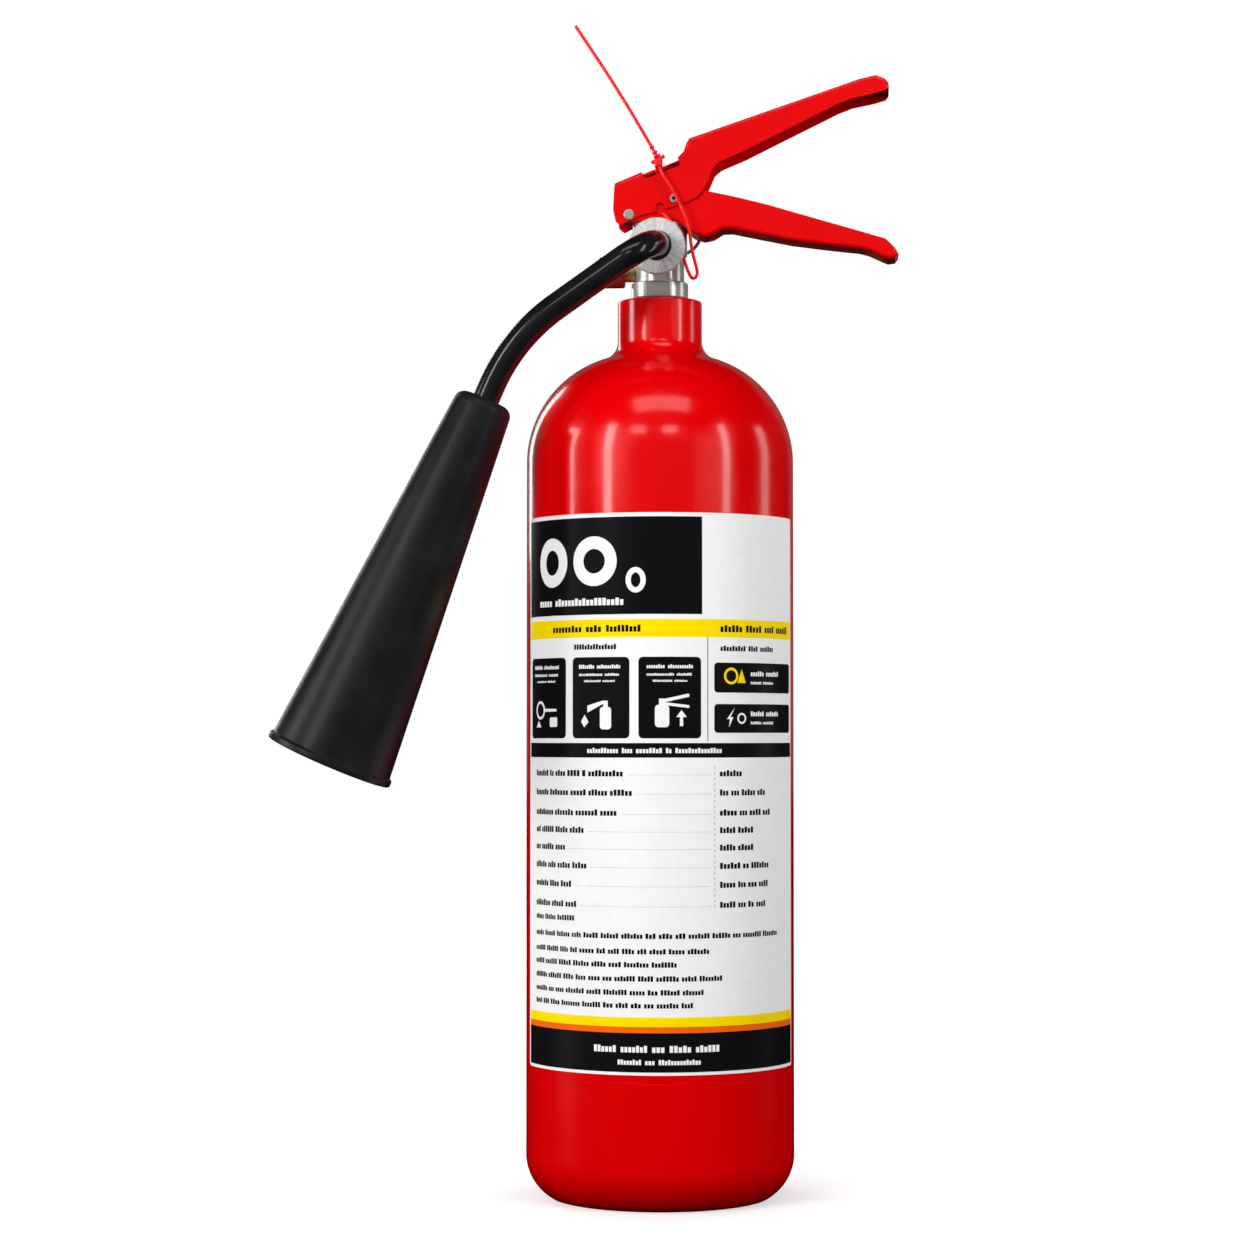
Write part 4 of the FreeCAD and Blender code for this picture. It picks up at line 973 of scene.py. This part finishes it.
def soft_light(name, place, height, size, power):
    data = bpy.data.lights.new(name, "AREA")
    data.shape = "RECTANGLE"
    data.size, data.size_y = size
    data.energy = power
    lamp = bpy.data.objects.new(name, data)
    lamp.location = place
    ray = Vector((0, 0, height)) - Vector(place)
    lamp.rotation_euler = ray.to_track_quat("-Z", "Y").to_euler()
    bpy.context.scene.collection.objects.link(lamp)
    return lamp


def staged(mesh, name, material):
    """A part of the studio, which only the camera sees, so that nothing mirrors it."""
    data = bpy.data.meshes.new(name)
    mesh.to_mesh(data)
    mesh.free()
    data.materials.append(material)
    piece = bpy.data.objects.new(name, data)
    bpy.context.scene.collection.objects.link(piece)
    piece.visible_diffuse = piece.visible_glossy = False
    return piece


def studio_paper():
    """Pale paper that glows, dimmer near the object as a painted contact shadow and brighter
    further out so that the far floor stays evenly white.
    """
    made = Finish("studio_paper", Roughness=0.8, Specular_IOR_Level=0.1,
                  Emission_Color=(1, 1, 1, 1))
    away = made.node("ShaderNodeVectorMath", {"operation": "LENGTH"}, {0: made.place})
    # The glow is weakest within a few centimetres of the object: this is a painted contact shadow
    # on the floor, not one cast by the lamps.
    painted_shadow_ramp = {0: away.outputs["Value"], 1: 0.06, 2: 0.24, 3: 0.50, 4: 1.03}
    glow = made.node("ShaderNodeMapRange", {}, painted_shadow_ramp).outputs[0]
    made.feed(made.skin.inputs["Emission Strength"], glow)
    made.colour(made.blend(made.noise(3, 2), (0.50, 0.50, 0.50), (0.53, 0.53, 0.53)))
    return made.material


class BuildStage(bpy.types.Operator):
    """Builds the floor, the lights and the camera"""

    bl_idname = "extinguisher.stage"
    bl_label = "Stage"

    def execute(self, context):
        scene = context.scene
        turn, away, height = math.radians(4), 1.545, 0.2335
        tilt, pan = math.radians(92.04), math.radians(4.624)
        data = bpy.data.cameras.new("camera")
        data.sensor_width = 36
        data.lens = 86.93
        camera = bpy.data.objects.new("camera", data)
        camera.location = (math.sin(turn) * away, -math.cos(turn) * away, height)
        camera.rotation_euler = (tilt, 0, pan)
        scene.collection.objects.link(camera)
        scene.camera = camera
        scene.view_settings.view_transform = "Standard"
        floor = bmesh.new()
        bmesh.ops.create_circle(floor, cap_ends=True, radius=400, segments=64)
        staged(floor, "floor", studio_paper())
        world = bpy.data.worlds.new("studio")
        scene.world = world
        world.use_nodes = True
        sky = world.node_tree.nodes["Background"]
        sky.inputs["Color"].default_value = (1, 1, 1, 1)
        sky.inputs["Strength"].default_value = 1.02
        world.cycles_visibility.diffuse = world.cycles_visibility.glossy = False
        for name, place, power in FILLS:
            soft_light(name, place, 0.28, (1.2, 1.0), power).visible_glossy = False
        for lamp in LAMPS:
            soft_light(*lamp)
        return {"FINISHED"}


class ExtinguisherPanel(bpy.types.Panel):
    """The steps in the order in which they are run"""

    bl_idname = "VIEW3D_PT_extinguisher"
    bl_label = "Extinguisher"
    bl_space_type = "VIEW_3D"
    bl_region_type = "UI"
    bl_category = "Extinguisher"

    def draw(self, context):
        for step in STEPS:
            self.layout.operator(step.bl_idname)
        for name, group in GROUPS.items():
            box = self.layout.box()
            settings = getattr(context.scene, name)
            for item in group.__annotations__:
                box.prop(settings, item)


GROUPS = {"shell_settings": ShellSettings, "label_settings": LabelSettings,
          "handle_settings": HandleSettings, "horn_settings": HornSettings,
          "seal_settings": SealSettings}
STEPS = (BuildStage, BuildSeal, BuildCylinder, BuildLabel, BuildPipe, BuildHorn, BuildHandles,
         BuildFittings)


def register():
    for name, group in GROUPS.items():
        bpy.utils.register_class(group)
        setattr(bpy.types.Scene, name, PointerProperty(type=group))
    for step in STEPS:
        bpy.utils.register_class(step)
    bpy.utils.register_class(ExtinguisherPanel)


def unregister():
    bpy.utils.unregister_class(ExtinguisherPanel)
    for step in reversed(STEPS):
        bpy.utils.unregister_class(step)
    for name, group in GROUPS.items():
        delattr(bpy.types.Scene, name)
        bpy.utils.unregister_class(group)


def main():
    register()
    red_enamel(bpy.context.scene.shell_settings.paint)
    bpy.ops.extinguisher.stage()
    bpy.ops.extinguisher.seal()
    bpy.ops.extinguisher.cylinder()
    bpy.ops.extinguisher.label()
    bpy.ops.extinguisher.pipe()
    bpy.ops.extinguisher.horn()
    bpy.ops.extinguisher.handles()
    bpy.ops.extinguisher.fittings()


if __name__ == "__main__":
    main()
